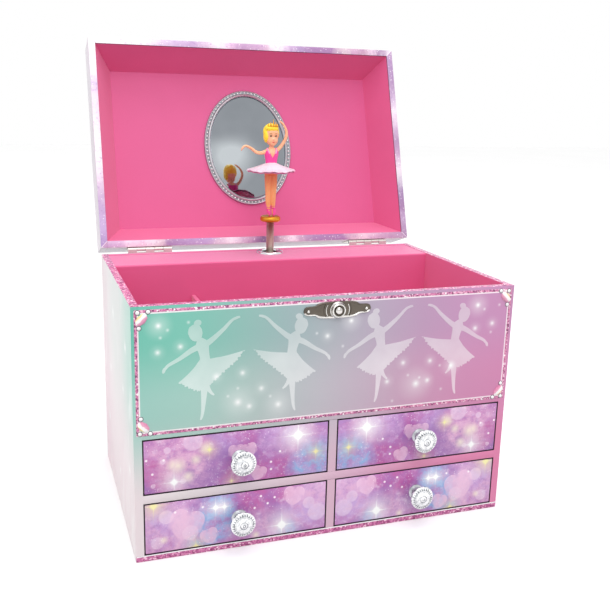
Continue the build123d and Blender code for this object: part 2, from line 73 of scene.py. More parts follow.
# ---- reading the frame ----
def solids(node, place=still):
    """The corners, in millimetres, of each separate solid of a CAD node, before its placement."""
    shape = bmesh.new()
    shape.from_mesh(nodes[node].data)
    shape.transform(Matrix.Scale(1 / MM, 4) @ place.inverted())
    bmesh.ops.remove_doubles(shape, verts=shape.verts, dist=0.001)
    left = set(shape.verts)
    found = []
    while left:
        group = {left.pop()}
        edge_of = set(group)
        while edge_of:
            edge_of = {e.other_vert(v) for v in edge_of for e in v.link_edges} & left
            group |= edge_of
            left -= edge_of
        points = np.array([v.co for v in group])
        found.append((Vector(points.min(0)), Vector(points.max(0))))
    shape.free()
    return sorted(found, key=lambda box: tuple(round(c, 2) for c in box[0]))


def extent(node, place=still):
    """The corners of a whole CAD node, in millimetres, before its placement."""
    boxes = solids(node, place)
    low = Vector([min(box[0][i] for box in boxes) for i in range(3)])
    high = Vector([max(box[1][i] for box in boxes) for i in range(3)])
    return low, high


def centred(node, place=still):
    """The corners and the middle of a whole CAD node."""
    low, high = extent(node, place)
    return low, high, (low + high) / 2


# ---- materials: numbers that vary over a surface ----
def arithmetic(operation, swapped=False):
    """The method behind an arithmetic sign, for a field and another field or a number."""

    def combine(field, other):
        values = (other, field) if swapped else (field, other)
        return field.paint.math(operation, *values)

    return combine


class Field:
    """A number that varies over a surface, combined with ordinary arithmetic."""

    def __init__(self, paint, socket):
        self.paint = paint
        self.socket = socket

    __add__ = __radd__ = arithmetic("ADD")
    __mul__ = __rmul__ = arithmetic("MULTIPLY")
    __sub__ = arithmetic("SUBTRACT")
    __rsub__ = arithmetic("SUBTRACT", True)
    __truediv__ = arithmetic("DIVIDE")
    __rtruediv__ = arithmetic("DIVIDE", True)
    __pow__ = arithmetic("POWER")

    def __abs__(self):
        return self.paint.math("ABSOLUTE", self)

    def capped(self):
        return self.paint.math("MINIMUM", self, 1.0)

    def step(self, low, high):
        """0 where the number is at low, 1 where it is at high, and smooth between."""
        inputs = {"Value": self, "From Min": low, "From Max": high}
        made = self.paint.node("ShaderNodeMapRange", inputs, interpolation_type="SMOOTHSTEP")
        return Field(self.paint, made.outputs[0])


class Paint:
    """A material: a Principled shader and short names for the nodes that feed it."""

    def __init__(self, name, **shader):
        self.material = bpy.data.materials.new(name)
        self.material.use_nodes = True
        self.tree = self.material.node_tree
        self.tree.nodes.clear()
        self.shader = self.tree.nodes.new("ShaderNodeBsdfPrincipled")
        output = self.tree.nodes.new("ShaderNodeOutputMaterial")
        self.tree.links.new(self.shader.outputs[0], output.inputs[0])
        for key, value in shader.items():
            self.shader.inputs[key.replace("_", " ")].default_value = value
        place = self.tree.nodes.new("ShaderNodeTexCoord").outputs["Object"]
        scaled = self.node("ShaderNodeVectorMath", {0: place, "Scale": 1 / MM}, operation="SCALE")
        self.point = scaled.outputs[0]
        split = self.node("ShaderNodeSeparateXYZ", {0: self.point})
        self.x, self.y, self.z = [Field(self, socket) for socket in split.outputs]

    def node(self, kind, inputs, **settings):
        made = self.tree.nodes.new(kind)
        for key, value in settings.items():
            setattr(made, key, value)
        for key, value in inputs.items():
            self.feed(made.inputs[key], value)
        return made

    def feed(self, socket, value):
        value = value.socket if isinstance(value, Field) else value
        if isinstance(value, bpy.types.NodeSocket):
            self.tree.links.new(value, socket)
        else:
            socket.default_value = value

    def math(self, operation, *values):
        made = self.node("ShaderNodeMath", dict(enumerate(values)), operation=operation)
        return Field(self, made.outputs[0])

    def flat(self, u, v, w=0.0):
        return self.node("ShaderNodeCombineXYZ", {0: u, 1: v, 2: w}).outputs[0]

    def noise(self, scale, detail=2.0, vector=None, roughness=0.5, distortion=0.0):
        """Soft noise from 0 to 1; scale is in features per millimetre."""
        inputs = {"Vector": vector or self.point, "Scale": scale, "Detail": detail}
        inputs.update({"Roughness": roughness, "Distortion": distortion})
        return Field(self, self.node("ShaderNodeTexNoise", inputs).outputs[0])

    def cells(self, scale):
        """Three random numbers for each of many small cells."""
        made = self.node("ShaderNodeTexVoronoi", {"Vector": self.point, "Scale": scale})
        split = self.node("ShaderNodeSeparateColor", {0: made.outputs["Color"]})
        return [Field(self, socket) for socket in split.outputs]

    def grains(self, scale, vector=None):
        """The distance to the nearest of many scattered points."""
        inputs = {"Vector": vector or self.point, "Scale": scale}
        return Field(self, self.node("ShaderNodeTexVoronoi", inputs).outputs["Distance"])

    def mix(self, amount, below, above):
        inputs = {0: amount, 6: colour(below), 7: colour(above)}
        return self.node("ShaderNodeMix", inputs, data_type="RGBA").outputs[2]

    def ramp(self, field, shades, sharp=False):
        """Colours at places along a number; shades are (number from 0 to 1, colour)."""
        made = self.node("ShaderNodeValToRGB", {0: field})
        steps = made.color_ramp
        steps.interpolation = "CONSTANT" if sharp else "LINEAR"
        while len(steps.elements) < len(shades):
            steps.elements.new(1.0)
        for element, (place, shade) in zip(steps.elements, shades):
            element.position = place
            element.color = colour(shade)
        return made.outputs[0]

    def across(self, field, shades):
        """Colours at places along a number in millimetres, such as a row across the front."""
        low = shades[0][0]
        length = shades[-1][0] - low
        return self.ramp((field - low) / length, [((at - low) / length, c) for at, c in shades])

    def distance(self, plane, u, v):
        made = self.node("ShaderNodeVectorMath", {0: plane, 1: (u, v, 0.0)}, operation="DISTANCE")
        return Field(self, made.outputs["Value"])

    def discs(self, plane, spots, soft=0.12):
        """1 inside any of the round spots (u, v, radius), with an edge of soft times the radius."""
        edges = ((u, v, radius * (1 + soft), radius * (1 - soft)) for u, v, radius in spots)
        return self.joined([self.distance(plane, u, v).step(a, b) for u, v, a, b in edges], "MAXIMUM")

    def glows(self, plane, spots, power):
        """The brightness of soft round lights (u, v, reach, strength)."""
        lights = []
        for u, v, reach, strength in spots:
            near = self.math("MAXIMUM", 1.0 - self.distance(plane, u, v) / reach, 0.0)
            lights.append(near**power * strength)
        return self.joined(lights)

    def flares(self, u, v, spots):
        """Four-pointed stars (u, v, reach, strength) on a soft light."""
        found = []
        for at_u, at_v, reach, strength in spots:
            du = abs(u - at_u)
            dv = abs(v - at_v)
            arm = 1.0 / (1.0 + du * dv * (60.0 / reach))
            fade = self.math("MAXIMUM", 1.0 - (du + dv) / reach, 0.0)
            found.append(arm * fade**1.6 * strength)
        return self.joined(found)

    def stars(self, u, v, spots):
        """Bright points (u, v, reach, strength): a white heart in a wide soft light, faintly rayed."""
        plane = self.flat(u, v)
        cores = [(a, b, reach * 0.22, strength * 0.95) for a, b, reach, strength in spots]
        haloes = [(a, b, reach * 1.25, strength * 0.62) for a, b, reach, strength in spots]
        long_spots = [(a, b, reach * 1.5, strength) for a, b, reach, strength in spots]
        rays = self.flares(u, v, long_spots) * 0.9
        return self.glows(plane, cores, 1.3) + self.glows(plane, haloes, 1.9) + rays

    def hearts(self, u, v, spots):
        """1 inside any of the hearts (u, v, half width, lean)."""
        found = []
        for at_u, at_v, size, lean in spots:
            across = (u - at_u) / size
            up = (v - at_v) / size
            x = across * math.cos(lean) + up * math.sin(lean)
            y = up * math.cos(lean) - across * math.sin(lean)
            inside = (x * x + y * y - 1.0) ** 3.0 - x * x * y * y * y
            found.append(inside.step(0.06, -0.06))
        return self.joined(found, "MAXIMUM")

    def joined(self, fields, operation="ADD"):
        return reduce(lambda total, field: self.math(operation, total, field), fields)

    def over(self, shade, *layers):
        """Colours laid one over another on shade; a layer is (amount, colour)."""
        for amount, tone in layers:
            shade = self.mix(amount, shade, tone)
        return shade

    def finish(self, shade, rough, height=None, distance=0.0, strength=1.0):
        """The material with its colour, roughness and relief: height times distance, in millimetres."""
        self.feed(self.shader.inputs["Base Color"], shade)
        self.feed(self.shader.inputs["Roughness"], rough)
        if height:
            inputs = {"Height": height, "Distance": distance * MM, "Strength": strength}
            self.feed(self.shader.inputs["Normal"], self.node("ShaderNodeBump", inputs).outputs[0])
        return self.material

    def paper(self, shade, gloss=0.34):
        """The material with the faint tooth and uneven gloss of laminated paper."""
        return self.finish(shade, self.noise(0.05, 3.0) * 0.12 + gloss, self.noise(2.2, 3.0), 0.02, 0.5)


def colour(shade):
    """A #RRGGBB colour as linear light; anything else passes through."""
    if not isinstance(shade, str):
        return shade
    parts = [int(shade[i : i + 2], 16) / 255 for i in (1, 3, 5)]
    linear = [c / 12.92 if c <= 0.04045 else ((c + 0.055) / 1.055) ** 2.4 for c in parts]
    return (*linear, 1.0)


def stops(text):
    """Colours at places along a number, written as "place RRGGBB" pairs."""
    words = text.split()
    return [(float(place), "#" + shade) for place, shade in zip(words[::2], words[1::2])]


# ---- printed papers: places are millimetres, across and up from the box's middle and its floor ----
white = "#FFFFFF"
print_film = {"Coat_Weight": 0.25, "Coat_Roughness": 0.15}
gloss_film = {"Coat_Weight": 0.3, "Coat_Roughness": 0.12}
rim_flakes = stops("0.0 7A3462  0.13 A85688  0.25 CC70A0  0.50 DE88B0  0.76 F2BAD3  0.92 FFF0F6")
base_flakes = stops("0.0 8C3468  0.14 AE5088  0.36 C86A9E  0.70 D985B2  0.90 F2C2DA")


def glitter(paint, flakes):
    """Crushed glitter: tiny flakes of rose, pale pink, white and plum."""
    flake, gloss, height = paint.cells(1.05)
    drift = paint.noise(0.3, 2.0)
    shade = paint.ramp(flake + (drift - 0.5) * 0.3, flakes, sharp=True)
    return shade, gloss, height


def glitter_paper(name, flakes):
    paint = Paint(name, Roughness=0.42, Metallic=0.1, Coat_Weight=0.3)
    shade, gloss, height = glitter(paint, flakes)
    return paint.finish(shade, gloss * 0.35 + 0.3, height, 0.05)


top_row = stops(
    "-125 66B9A6  -95 72BBAA  -60 85B3AB  -30 94ACAE  0 A7AAB3  30 B09DB4  60 B590B1  95 BF8AB3  "
    "125 C387B2"
)
middle_row = stops(
    "-125 98C8BD  -90 A2CAC0  -50 B0C2BF  -10 BCB8C1  20 C1ACBE  57 C796B5  90 CD89B1  125 D082AE"
)
low_row = stops(
    "-125 E4D6DA  -95 D9CFD2  -60 D2C3CB  -20 D4B7C5  20 D2A2BD  60 D183A8  95 D67DA6  125 D878A2"
)


def front_gradient(paint):
    """The wash that runs over the whole front: mint to lilac to pink, paler low on the left."""
    upper, middle, low = [paint.across(paint.x, row) for row in (top_row, middle_row, low_row)]
    return paint.over(upper, (paint.z.step(142, 98), middle), (paint.z.step(96, 38), low))


# The glitter border on the front, the gems at its corners, and the printed lights inside it.
gem_x = 118.9
gem_z = 32.4
frame_half = 123.1
frame_low, frame_high = 81.6, 157.9
frame_middle = (frame_low + frame_high) / 2
frame_band = 1.7
small_lights = [(-96.8, 134.7), (-110, 132.1), (-59.5, 115.5), (-75.5, 114.4), (-47.7, 104.6)]
small_lights += [(-55.2, 93.8), (-5.9, 134.6), (110.1, 135), (97.5, 132.4), (65.8, 112.7)]
small_lights += [(46.6, 112.9), (64.7, 99.5), (35.9, 101.2)]
big_lights = [(-109.4, 148, 10), (-62.3, 97.1, 14), (-36.9, 93.2, 12), (9.6, 143.4, 9)]
big_lights += [(98.4, 148, 10), (56.6, 97.9, 15), (81.3, 108.2, 9)]
specks = [(-108.3, 140.8), (-12.9, 136.8), (-104.1, 145.1), (-62.4, 106), (-68.5, 101.5)]
specks += [(4.5, 127.3), (109.6, 129), (114.5, 147.3), (103.5, 145), (50.5, 104.2)]
specks += [(58.8, 101.9), (73.2, 108.9), (75.1, 92.5), (40.2, 87.6), (-92, 149), (-42, 99)]


def front_paper():
    """The front's gradient print with its glitter border and scattered lights."""
    paint = Paint("front_paper", **print_film)
    plane = paint.flat(paint.x, paint.z)
    cores = [(u, v, 2.7, 0.62) for u, v in small_lights]
    cores += [(u, v, reach * 0.28, 0.65) for u, v, reach in big_lights]
    cores += [(u, v, 1.7, 0.5) for u, v in specks]
    haloes = [(u, v, 6.0, 0.22) for u, v in small_lights]
    haloes += [(u, v, reach, 0.36) for u, v, reach in big_lights]
    shine = paint.glows(plane, cores, 1.8) + paint.glows(plane, haloes, 1.5)
    tall = (frame_high - frame_low) / 2
    outside = paint.math("MAXIMUM", abs(paint.x) - frame_half, abs(paint.z - frame_middle) - tall)
    band = outside.step(0.15, -0.15) * outside.step(-frame_band - 0.15, -frame_band + 0.15)
    line = outside.step(-frame_band + 0.1, -frame_band - 0.1)
    line = line * outside.step(-frame_band - 0.95, -frame_band - 0.65)
    flakes, _, height = glitter(paint, rim_flakes)
    layers = (shine.capped(), white), (line * 0.85, "#FFF4F8"), (band, flakes)
    tooth = paint.noise(2.2, 3.0) * 0.15 + band * (height * 0.5 + 0.6)
    gloss = paint.noise(0.05, 3.0) * 0.12 + 0.34 - band * 0.1
    return paint.finish(paint.over(front_gradient(paint), *layers), gloss, tooth, 0.12)


def lit_paper(paint, shade, along, lights, power=3.5):
    """A finished paper with soft white lights scattered over its wash."""
    shine = paint.glows(paint.flat(along, paint.z), lights, power)
    return paint.paper(paint.mix(shine.capped(), shade, white))


def silhouette_paper():
    """The same wash, most of the way to white, for the dancers' silhouettes."""
    paint = Paint("silhouette_paper", **print_film)
    veil = 0.22 + paint.noise(0.08, 2.0) * 0.22 + paint.z.step(146, 112) * 0.08
    near = [(u, v, 4.2, 0.9) for u, v in ((-75.5, 114.4), (-59.5, 115.5), (35.9, 101.2))]
    near += [(81.3, 108.2, 5.0, 1.1), (-36.9, 93.2, 6.0, 0.9)]
    return lit_paper(paint, paint.mix(veil, front_gradient(paint), white), paint.x, near, 2.0)


def side_paper(name, near, middle, low, far):
    """A pale wash with faint lights for a side of the case."""
    paint = Paint(name, **print_film)
    cloud = paint.noise(0.035, 4.0, paint.flat(paint.y, paint.z * 0.5), distortion=0.6)
    shade = paint.over(
        paint.mix(paint.y.step(-80, -15), near, middle),
        (paint.z.step(120, 40) * 0.9, low),
        (paint.y.step(0, 80) * (0.4 + paint.noise(0.03, 1.0) * 0.6), far),
        (cloud.step(0.52, 0.8) * 0.55, white),
    )
    lights = [(-52, 128, 9, 1.0), (-36, 96, 7, 0.9), (10, 134, 9, 1.0), (34, 88, 8, 0.9)]
    lights += [(-60, 52, 8, 0.9), (52, 44, 9, 1.0), (-8, 28, 7, 0.9), (60, 120, 6, 0.8)]
    return lit_paper(paint, shade, paint.y, lights)


def back_paper():
    """The back's pale wash, from the mint side round to the pink one."""
    paint = Paint("back_paper", **print_film)
    wash = paint.across(paint.x, stops("-125 D4E6E2  -40 E2DFE6  40 E6D2E0  125 E6BED6"))
    cloud = paint.noise(0.03, 4.0, distortion=0.6)
    shade = paint.mix(cloud.step(0.5, 0.8) * 0.5, wash, white)
    lights = [(-96, 132, 11, 1.1), (-58, 66, 9, 1.0), (-20, 140, 8, 0.9), (66, 122, 11, 1.1)]
    lights += [(88, 48, 9, 1.0), (30, 30, 8, 0.9), (-90, 26, 8, 0.9), (20, 88, 7, 0.8)]
    return lit_paper(paint, shade, paint.x, lights)


def galaxy(paint, u, v, seed, zoom=1.0):
    """Mottled clouds of purple, magenta and lilac with a watery grain."""
    plane = paint.flat(u, v, seed)
    wide = paint.noise(0.034 * zoom, 6.0, plane, 0.62, 0.6)
    grain = paint.noise(1.0, 3.0, plane, 0.7)
    clouds = stops("0.30 8C5CA6  0.41 A56FB4  0.49 B86BAF  0.56 BE8AC6  0.66 D2A6D2  0.78 EBD0E6")
    return paint.ramp(wide + (grain - 0.5) * 0.22, clouds)


# What is printed on one half of the drawer fronts, and mirrored on the other: each row is the place
# across and up, and then a size, with a strength or a lean where there is one.
upper_print = {
    "purple": [(70.8, 61.7, 19, 1.1), (44.2, 69.6, 20, 1.1), (27, 59, 15, 0.9), (80, 48, 14, 0.9)],
    "magenta": [(113.4, 57.0, 17, 1.4), (39, 48, 20, 1.3), (58.6, 75.0, 14, 1.0), (64, 50, 12, 0.8)],
    "rose": [(96, 59, 25, 1.2), (92, 74, 22, 1.1), (110, 74, 16, 0.9), (27, 75, 20, 0.9)],
    "lilac": [(34, 75, 15, 0.9), (9, 68, 16, 0.9), (68, 73, 14, 0.7), (22, 50, 12, 0.6)],
    "blue": [(11.0, 54.5, 16, 1.5), (21.0, 51.5, 11, 1.0)],
    "hearts": [(62.9, 64.0, 4.6, 0.0), (54.9, 64.0, 4.6, -0.2), (49.3, 48.4, 4.6, 0.35)],
    "pale": [(105.3, 71.0, 2.1), (89.8, 75.0, 6.0), (108, 64, 1.7), (96, 50, 1.8), (114, 49, 1.4)],
    "cream": [(99.2, 60.3, 3.2), (102.0, 61.2, 2.4), (88.1, 63.0, 2.0), (81.7, 69.5, 2.4), (92.9, 52.6, 2.2)],
    "dots": [(35, 61.9), (40.8, 55.5), (40.7, 50.6), (117.8, 65.9), (107.5, 65), (114.3, 56.7)],
    "warm_stars": [(11.2, 58.9, 9, 0.9), (79.8, 68.5, 8, 0.8), (66, 46, 9, 0.5)],
    "stars": [(23.3, 71.3, 15, 1.3), (101.4, 50.0, 12, 0.9)],
}
lower_print = {
    "purple": [(51, 20, 19, 1.1), (49, 35, 15, 1.0), (86, 31, 15, 0.9), (34, 22, 12, 0.6)],
    "magenta": [(41.0, 34.9, 17, 1.3), (57, 29.5, 14, 1.1), (62.5, 3.4, 13, 0.9), (31, 35, 12, 0.9)],
    "rose": [(106, 20, 32, 1.2), (13, 24, 25, 1.0), (46, 13, 17, 0.8), (98, 8, 20, 0.9)],
    "lilac": [(112, 26, 22, 0.9), (9, 15, 16, 1.0), (24, 20, 15, 0.9), (60, 11, 12, 0.6)],
    "blue": [(75.5, 22.0, 20, 1.6), (28.5, 5.0, 10, 1.2), (83, 10, 15, 1.1), (72, 32, 11, 0.9)],
    "hearts": [(25.4, 29.0, 6.2, 0.15), (79.5, 9.8, 5.0, -0.3), (95.0, 19.0, 9.5, 0.3)],
    "pale": [(9.4, 16.7, 6.0), (91.8, 14.9, 5.0), (106.5, 27.6, 4.5), (15, 24, 4.0), (112, 11, 4.0)],
    "cream": [(50.0, 6.6, 1.6), (108.0, 12.5, 1.5)],
    "dots": [(38, 31), (42.5, 27.5), (51, 25.5), (47, 33), (84.0, 31.0), (101, 30), (60.5, 22)],
    "warm_stars": [(114.0, 36.0, 13, 1.1), (88.4, 5.0, 9, 1.0)],
    "stars": [(33.0, 11.0, 14, 1.2), (76.0, 29.4, 9, 1.0), (70.3, 29.2, 7, 0.9)],
}
# The tints that are laid over the galaxy print's clouds, in this order.
washes = (
    ("purple", "#9A68AE"),
    ("magenta", "#B9519A"),
    ("rose", "#E2AFD0"),
    ("lilac", "#C4A2D8"),
    ("blue", "#84B4E2"),
)


def drawer_paper(name, marks, seed):
    """A galaxy print with hearts, soft discs and stars, mirrored left to right."""
    paint = Paint(name, **gloss_film)
    u = abs(paint.x)
    v = paint.z
    plane = paint.flat(u, v)
    shade = galaxy(paint, u, v, seed)
    for shift, (key, tone) in enumerate(washes):
        mottle = paint.noise(0.14, 6.0, paint.flat(u, v, seed + 7.0 * shift), 0.7).step(0.36, 0.64)
        cloud = (paint.glows(plane, marks[key], 1.1) * 1.3).capped() * (mottle * 0.75 + 0.2)
        shade = paint.mix(cloud * 0.9, shade, tone)
    water = paint.noise(0.2, 7.0, paint.flat(u, v, seed + 50.0), 0.72)
    soft = paint.noise(0.3, 3.0, plane) * 0.5 + 0.75
    speckle = paint.noise(0.06, 2.0, plane).step(0.42, 0.62)
    dust = paint.grains(0.55, plane).step(0.24, 0.06) * speckle
    dots = paint.discs(plane, [(x, z, 0.75) for x, z in marks["dots"]], 0.4)
    layers = (
        (water.step(0.52, 0.74) * 0.5, "#EEDDF0"),
        (water.step(0.48, 0.28) * 0.4, "#8B559F"),
        (paint.discs(plane, marks["pale"]) * soft * 0.42, "#F2DCEE"),
        (paint.hearts(u, v, marks["hearts"]) * soft * 0.6, "#F0C6E0"),
        (paint.discs(plane, marks["cream"], 1.4) * soft * 0.8, "#F8EAD6"),
        (paint.math("MAXIMUM", dust * 0.75, dots * 0.9), "#FFF0FA"),
        ((paint.stars(u, v, marks["warm_stars"]) * 0.8).capped(), "#EFE6A8"),
        (paint.stars(u, v, marks["stars"]).capped(), white),
    )
    return paint.paper(paint.over(shade, *layers), 0.28)


front_zones = stops(
    "-125 F4EDF3  -82 F1E8F0  -72 D6C0DA  -58 C8ACD0  -44 BE9CC6  -35 D6BCD4  -26 F2E8F1  "
    "-15 DCB6D6  -5 BA92BA  6 C69EC2  15 D8B6CE  22 F0E6EF  33 CEB0D2  42 AE90BC  54 A278A8  "
    "70 A276A6  82 D4BCC8  92 CCA2C0  100 BE94AE  107 E2C6DA  113 AA86AA  125 E2D6E4"
)
rear_zones = stops(
    "-125 BC98BE  -112 C8A2C6  -104 E2C8DA  -96 DEB8D0  -86 E4D2DC  -79 C8ACBC  -73 9C76A4  "
    "-58 AA8AB8  -44 B294C2  -35 CEB4CA  -27 F0E2EC  -17 CEAECA  -8 BE92B6  -1 8A6494  7 96708E  "
    "14 C09EB4  22 EADAE6  31 C2A4BE  42 A07CA8  66 9C70A2  77 D0B0C0  87 DEC0D0  98 C8A0BC  "
    "110 B48CAC  125 B090B2"
)
left_zones = stops(
    "-80 F6F0F5  -58 F2EAF2  -45 CFB8D8  -36 E8CEE0  -24 E6D2E0  0 F0E2EC  18 F2E6F0  32 DCC4DC  "
    "48 BFA4CC  62 C6B0DA  80 A488BE"
)
right_zones = stops(
    "-80 BC9CBE  -66 A886B2  -50 AA88B0  -36 CCB4D0  -27 ECDCE9  -14 CCB0CC  -2 AC8AB0  8 BE98BC  "
    "20 EADCE8  30 D8CEDC  42 A084AE  54 A27CA8  62 BAA0C4  80 A684AA"
)


def rim_print(paint):
    """The zones of the galaxy print along the lid's four rims, with a seam at each corner."""
    _, high = extent("lid_top_panel", lid_place)
    drift = (paint.noise(0.16, 4.0, roughness=0.65) - 0.5) * 16.0
    front, rear = [paint.across(paint.x + drift, zones) for zones in (front_zones, rear_zones)]
    left, right = [paint.across(paint.y + drift, zones) for zones in (left_zones, right_zones)]
    long_rims = paint.mix(paint.y.step(-1.0, 1.0), front, rear)
    short_rims = paint.mix(paint.x.step(-1.0, 1.0), left, right)
    from_side = high.x - abs(paint.x)
    from_corner = from_side - (high.y - abs(paint.y))
    water = paint.noise(0.35, 5.0, roughness=0.7)
    return paint.over(
        long_rims,
        (from_corner.step(0.05, -0.05), short_rims),
        (water.step(0.48, 0.3) * 0.45, "#9A6AAE"),
        (water.step(0.56, 0.74) * 0.35, "#F4E4F2"),
        (abs(from_corner).step(0.35, 0.15) * from_side.step(5.6, 5.2) * 0.8, "#FBF6FA"),
    )


top_of_lid = extent("lid_top_panel", lid_place)[1].z


def lid_paper(name, on_rim):
    """The lid's print with scattered stars: strong on the rims, nearly white outside."""
    paint = Paint(name, **gloss_film)
    if on_rim:
        shade = rim_print(paint)
    else:
        shade = galaxy(paint, paint.x + paint.y, paint.y - paint.z, 7.0, 1.3)
        on_top = paint.z.step(top_of_lid - 1.0, top_of_lid)
        shade = paint.over(shade, (0.7, "#EFEDEE"), (on_top * 0.35, "#D9C3E2"))
    stars = paint.grains(0.4).step(0.24, 0.05)
    return paint.paper(paint.mix(stars * 0.7, shade, white), 0.28)


# The lining is painted with shade where it turns into the drawers' mouths; the ledge's copy, painted lighter,
# goes back to the plain lining tone on its front face.
plum = "#35192F"
mouth_back = -75.5
mouth_top = 78.9
ledge_front = extent("ledge_panel")[0].y


def lining_paper(name, tone, deep, light, panel=None, front_tone=None):
    """Flocked lining: short nap, a soft sheen, painted shade at the drawer mouths, and a dark line round a
    panel.
    """
    paint = Paint(name, Sheen_Weight=0.3, Sheen_Roughness=0.45)
    nap = paint.noise(3.0, 4.0)
    layers = [(paint.noise(0.02, 3.0).step(0.3, 0.7) * 0.35, deep), (nap.step(0.35, 0.8) * 0.22, light)]
    shade = paint.over(tone, *layers)
    if front_tone:
        shade = paint.mix(paint.y.step(ledge_front + 1.6, ledge_front + 0.3), shade, front_tone)
    # painted shade inside the drawer mouths
    painted_mouth_shade = paint.y.step(mouth_back, mouth_back - 1.0) * paint.z.step(mouth_top + 1.0, mouth_top)
    shade = paint.mix(painted_mouth_shade, shade, plum)
    if panel:
        _, high = extent(panel, lid_place)
        inset = paint.math("MINIMUM", high.x - abs(paint.x), high.y - abs(paint.y))
        shade = paint.mix(abs(inset - 1.1).step(0.9, 0.2) * 0.45, shade, "#B03C70")
    return paint.finish(shade, nap * 0.14 + 0.44, nap, 0.06, 0.6)


# ---- metals and plastics ----
def brushed(name, tone, dark, rough, stretch, fleck=0.25):
    """A metal with fine directional scratches and slight staining."""
    paint = Paint(name, Metallic=1.0)
    scaled = [axis * scale for axis, scale in zip((paint.x, paint.y, paint.z), stretch)]
    grain = paint.noise(1.6, 4.0, paint.flat(*scaled))
    stain = paint.noise(0.12, 3.0).step(0.35, 0.75) * fleck
    shade = paint.over(tone, (stain, dark), (grain.step(0.5, 0.9) * 0.3, dark))
    return paint.finish(shade, grain * 0.18 + rough, grain, 0.03, 0.5)


def mirror_glass():
    """Silvered glass with the slightest unevenness and two pale painted reflections."""
    paint = Paint("mirror_glass_face", Metallic=1.0)
    haze = paint.noise(0.03, 2.0)
    _, _, centre = centred("mirror_glass", lid_place)
    plane = paint.flat(paint.x, paint.y)
    # Two soft pale patches over the lower part: painted reflections.
    spots = [(centre.x - 21, centre.y + 8, 30, 1.1), (centre.x - 8, centre.y + 3, 24, 0.5)]
    cloud = paint.glows(plane, spots, 1.2) * paint.y.step(centre.y - 16, centre.y + 2)
    shade = paint.mix(haze.step(0.3, 0.8), "#8B9096", "#969BA1")
    shade = paint.mix((cloud * (0.6 + haze * 0.8)).capped(), shade, "#C8CED2")
    return paint.finish(shade, haze * 0.03 + 0.015)


def crystal_plastic(name, dark, light):
    """Cut acrylic over silver foil; each part of a facet gets its own tone, a painted reflection."""
    paint = Paint(name, Metallic=0.35, Coat_Weight=0.6, Coat_Roughness=0.04)
    tone, gloss, _ = paint.cells(0.8)
    shine = paint.noise(0.8, 2.0, distortion=1.0)
    # tone and shine give each facet a painted reflection, bright or dark
    shade = paint.mix((tone * 0.6 + shine * 0.6).step(0.3, 0.7), dark, light)
    return paint.finish(shade, gloss * 0.1 + 0.06)


def plastic(name, tone, deep, gloss):
    """Moulded or painted plastic with faint mottling and an eggshell skin."""
    paint = Paint(name, Coat_Weight=0.15)
    shade = paint.mix(paint.noise(0.25, 3.0).step(0.35, 0.75) * 0.45, tone, deep)
    return paint.finish(shade, paint.noise(1.2, 3.0) * 0.14 + gloss, paint.noise(2.16, 3.0), 0.04, 0.4)


def skin_plastic():
    """Peach plastic, more orange low down, with a painted shadow of the skirt on the upper legs."""
    paint = Paint("skin_plastic", Subsurface_Weight=0.15, Coat_Weight=0.12)
    paint.shader.inputs["Subsurface Radius"].default_value = (0.0014, 0.0006, 0.0003)
    patch = paint.noise(0.35, 3.0).step(0.35, 0.75)
    # painted shadow of the skirt, strongest from 218 to 222 mm up
    painted_skirt_shadow = paint.z.step(204, 218) * paint.z.step(232, 222)
    shade = paint.mix(paint.z.step(214, 234), "#F4B074", "#F8BC94")
    shade = paint.over(shade, (painted_skirt_shadow * 0.6, "#E0783F"), (patch * 0.3, "#EE9A66"))
    return paint.finish(shade, paint.noise(1.5, 2.0) * 0.15 + 0.38, paint.noise(1.6, 2.0), 0.04, 0.4)


def skirt_plastic():
    """Blush tutu: nearly white on top with fine pleats, rose towards the hem and beneath."""
    paint = Paint("skirt_plastic", Subsurface_Weight=0.2, Coat_Weight=0.2)
    paint.shader.inputs["Subsurface Radius"].default_value = (0.002, 0.0012, 0.0012)
    _, _, centre = centred("dancer_skirt")
    out = paint.distance(paint.flat(paint.x, paint.y), centre.x, centre.y)
    angle = paint.math("ARCTAN2", paint.y - centre.y, paint.x - centre.x)
    pleat = paint.math("SINE", angle * 56.0 + paint.noise(0.4, 2.0) * 3.0)
    layers = (out.step(11, 18.0) * 0.6, "#E3BCD2"), (pleat.step(0.2, 1.0) * 0.16, "#DFA3C4")
    return paint.finish(paint.over("#EBD8E3", *layers), pleat * 0.05 + 0.4, pleat, 0.08, 0.6)


def gem_glass():
    """Iridescent cut glass: cream, rose, white and gold bands."""
    paint = Paint("gem_glass", Coat_Weight=0.8, Coat_Roughness=0.05, Roughness=0.15)
    sweep = paint.noise(0.28, 2.0, distortion=1.2)
    outward = (abs(paint.x) - gem_x) + (abs(paint.z - frame_middle) - gem_z)
    bands = stops("-4.6 C9789F  -2.4 E08AB0  -0.9 E7A3BE  -0.2 FBF1F2  1.9 FFFFFF  2.9 F6DC98  4.6 D9B25E")
    return paint.finish(paint.across(outward + (sweep - 0.5) * 2.4, bands), sweep * 0.1 + 0.12)


def pearl():
    paint = Paint("pearl", Coat_Weight=0.7, Coat_Roughness=0.08, Roughness=0.2)
    glaze = paint.noise(0.9, 2.0)
    return paint.finish(paint.mix(glaze, white, "#E6E2E6"), glaze * 0.1 + 0.15)


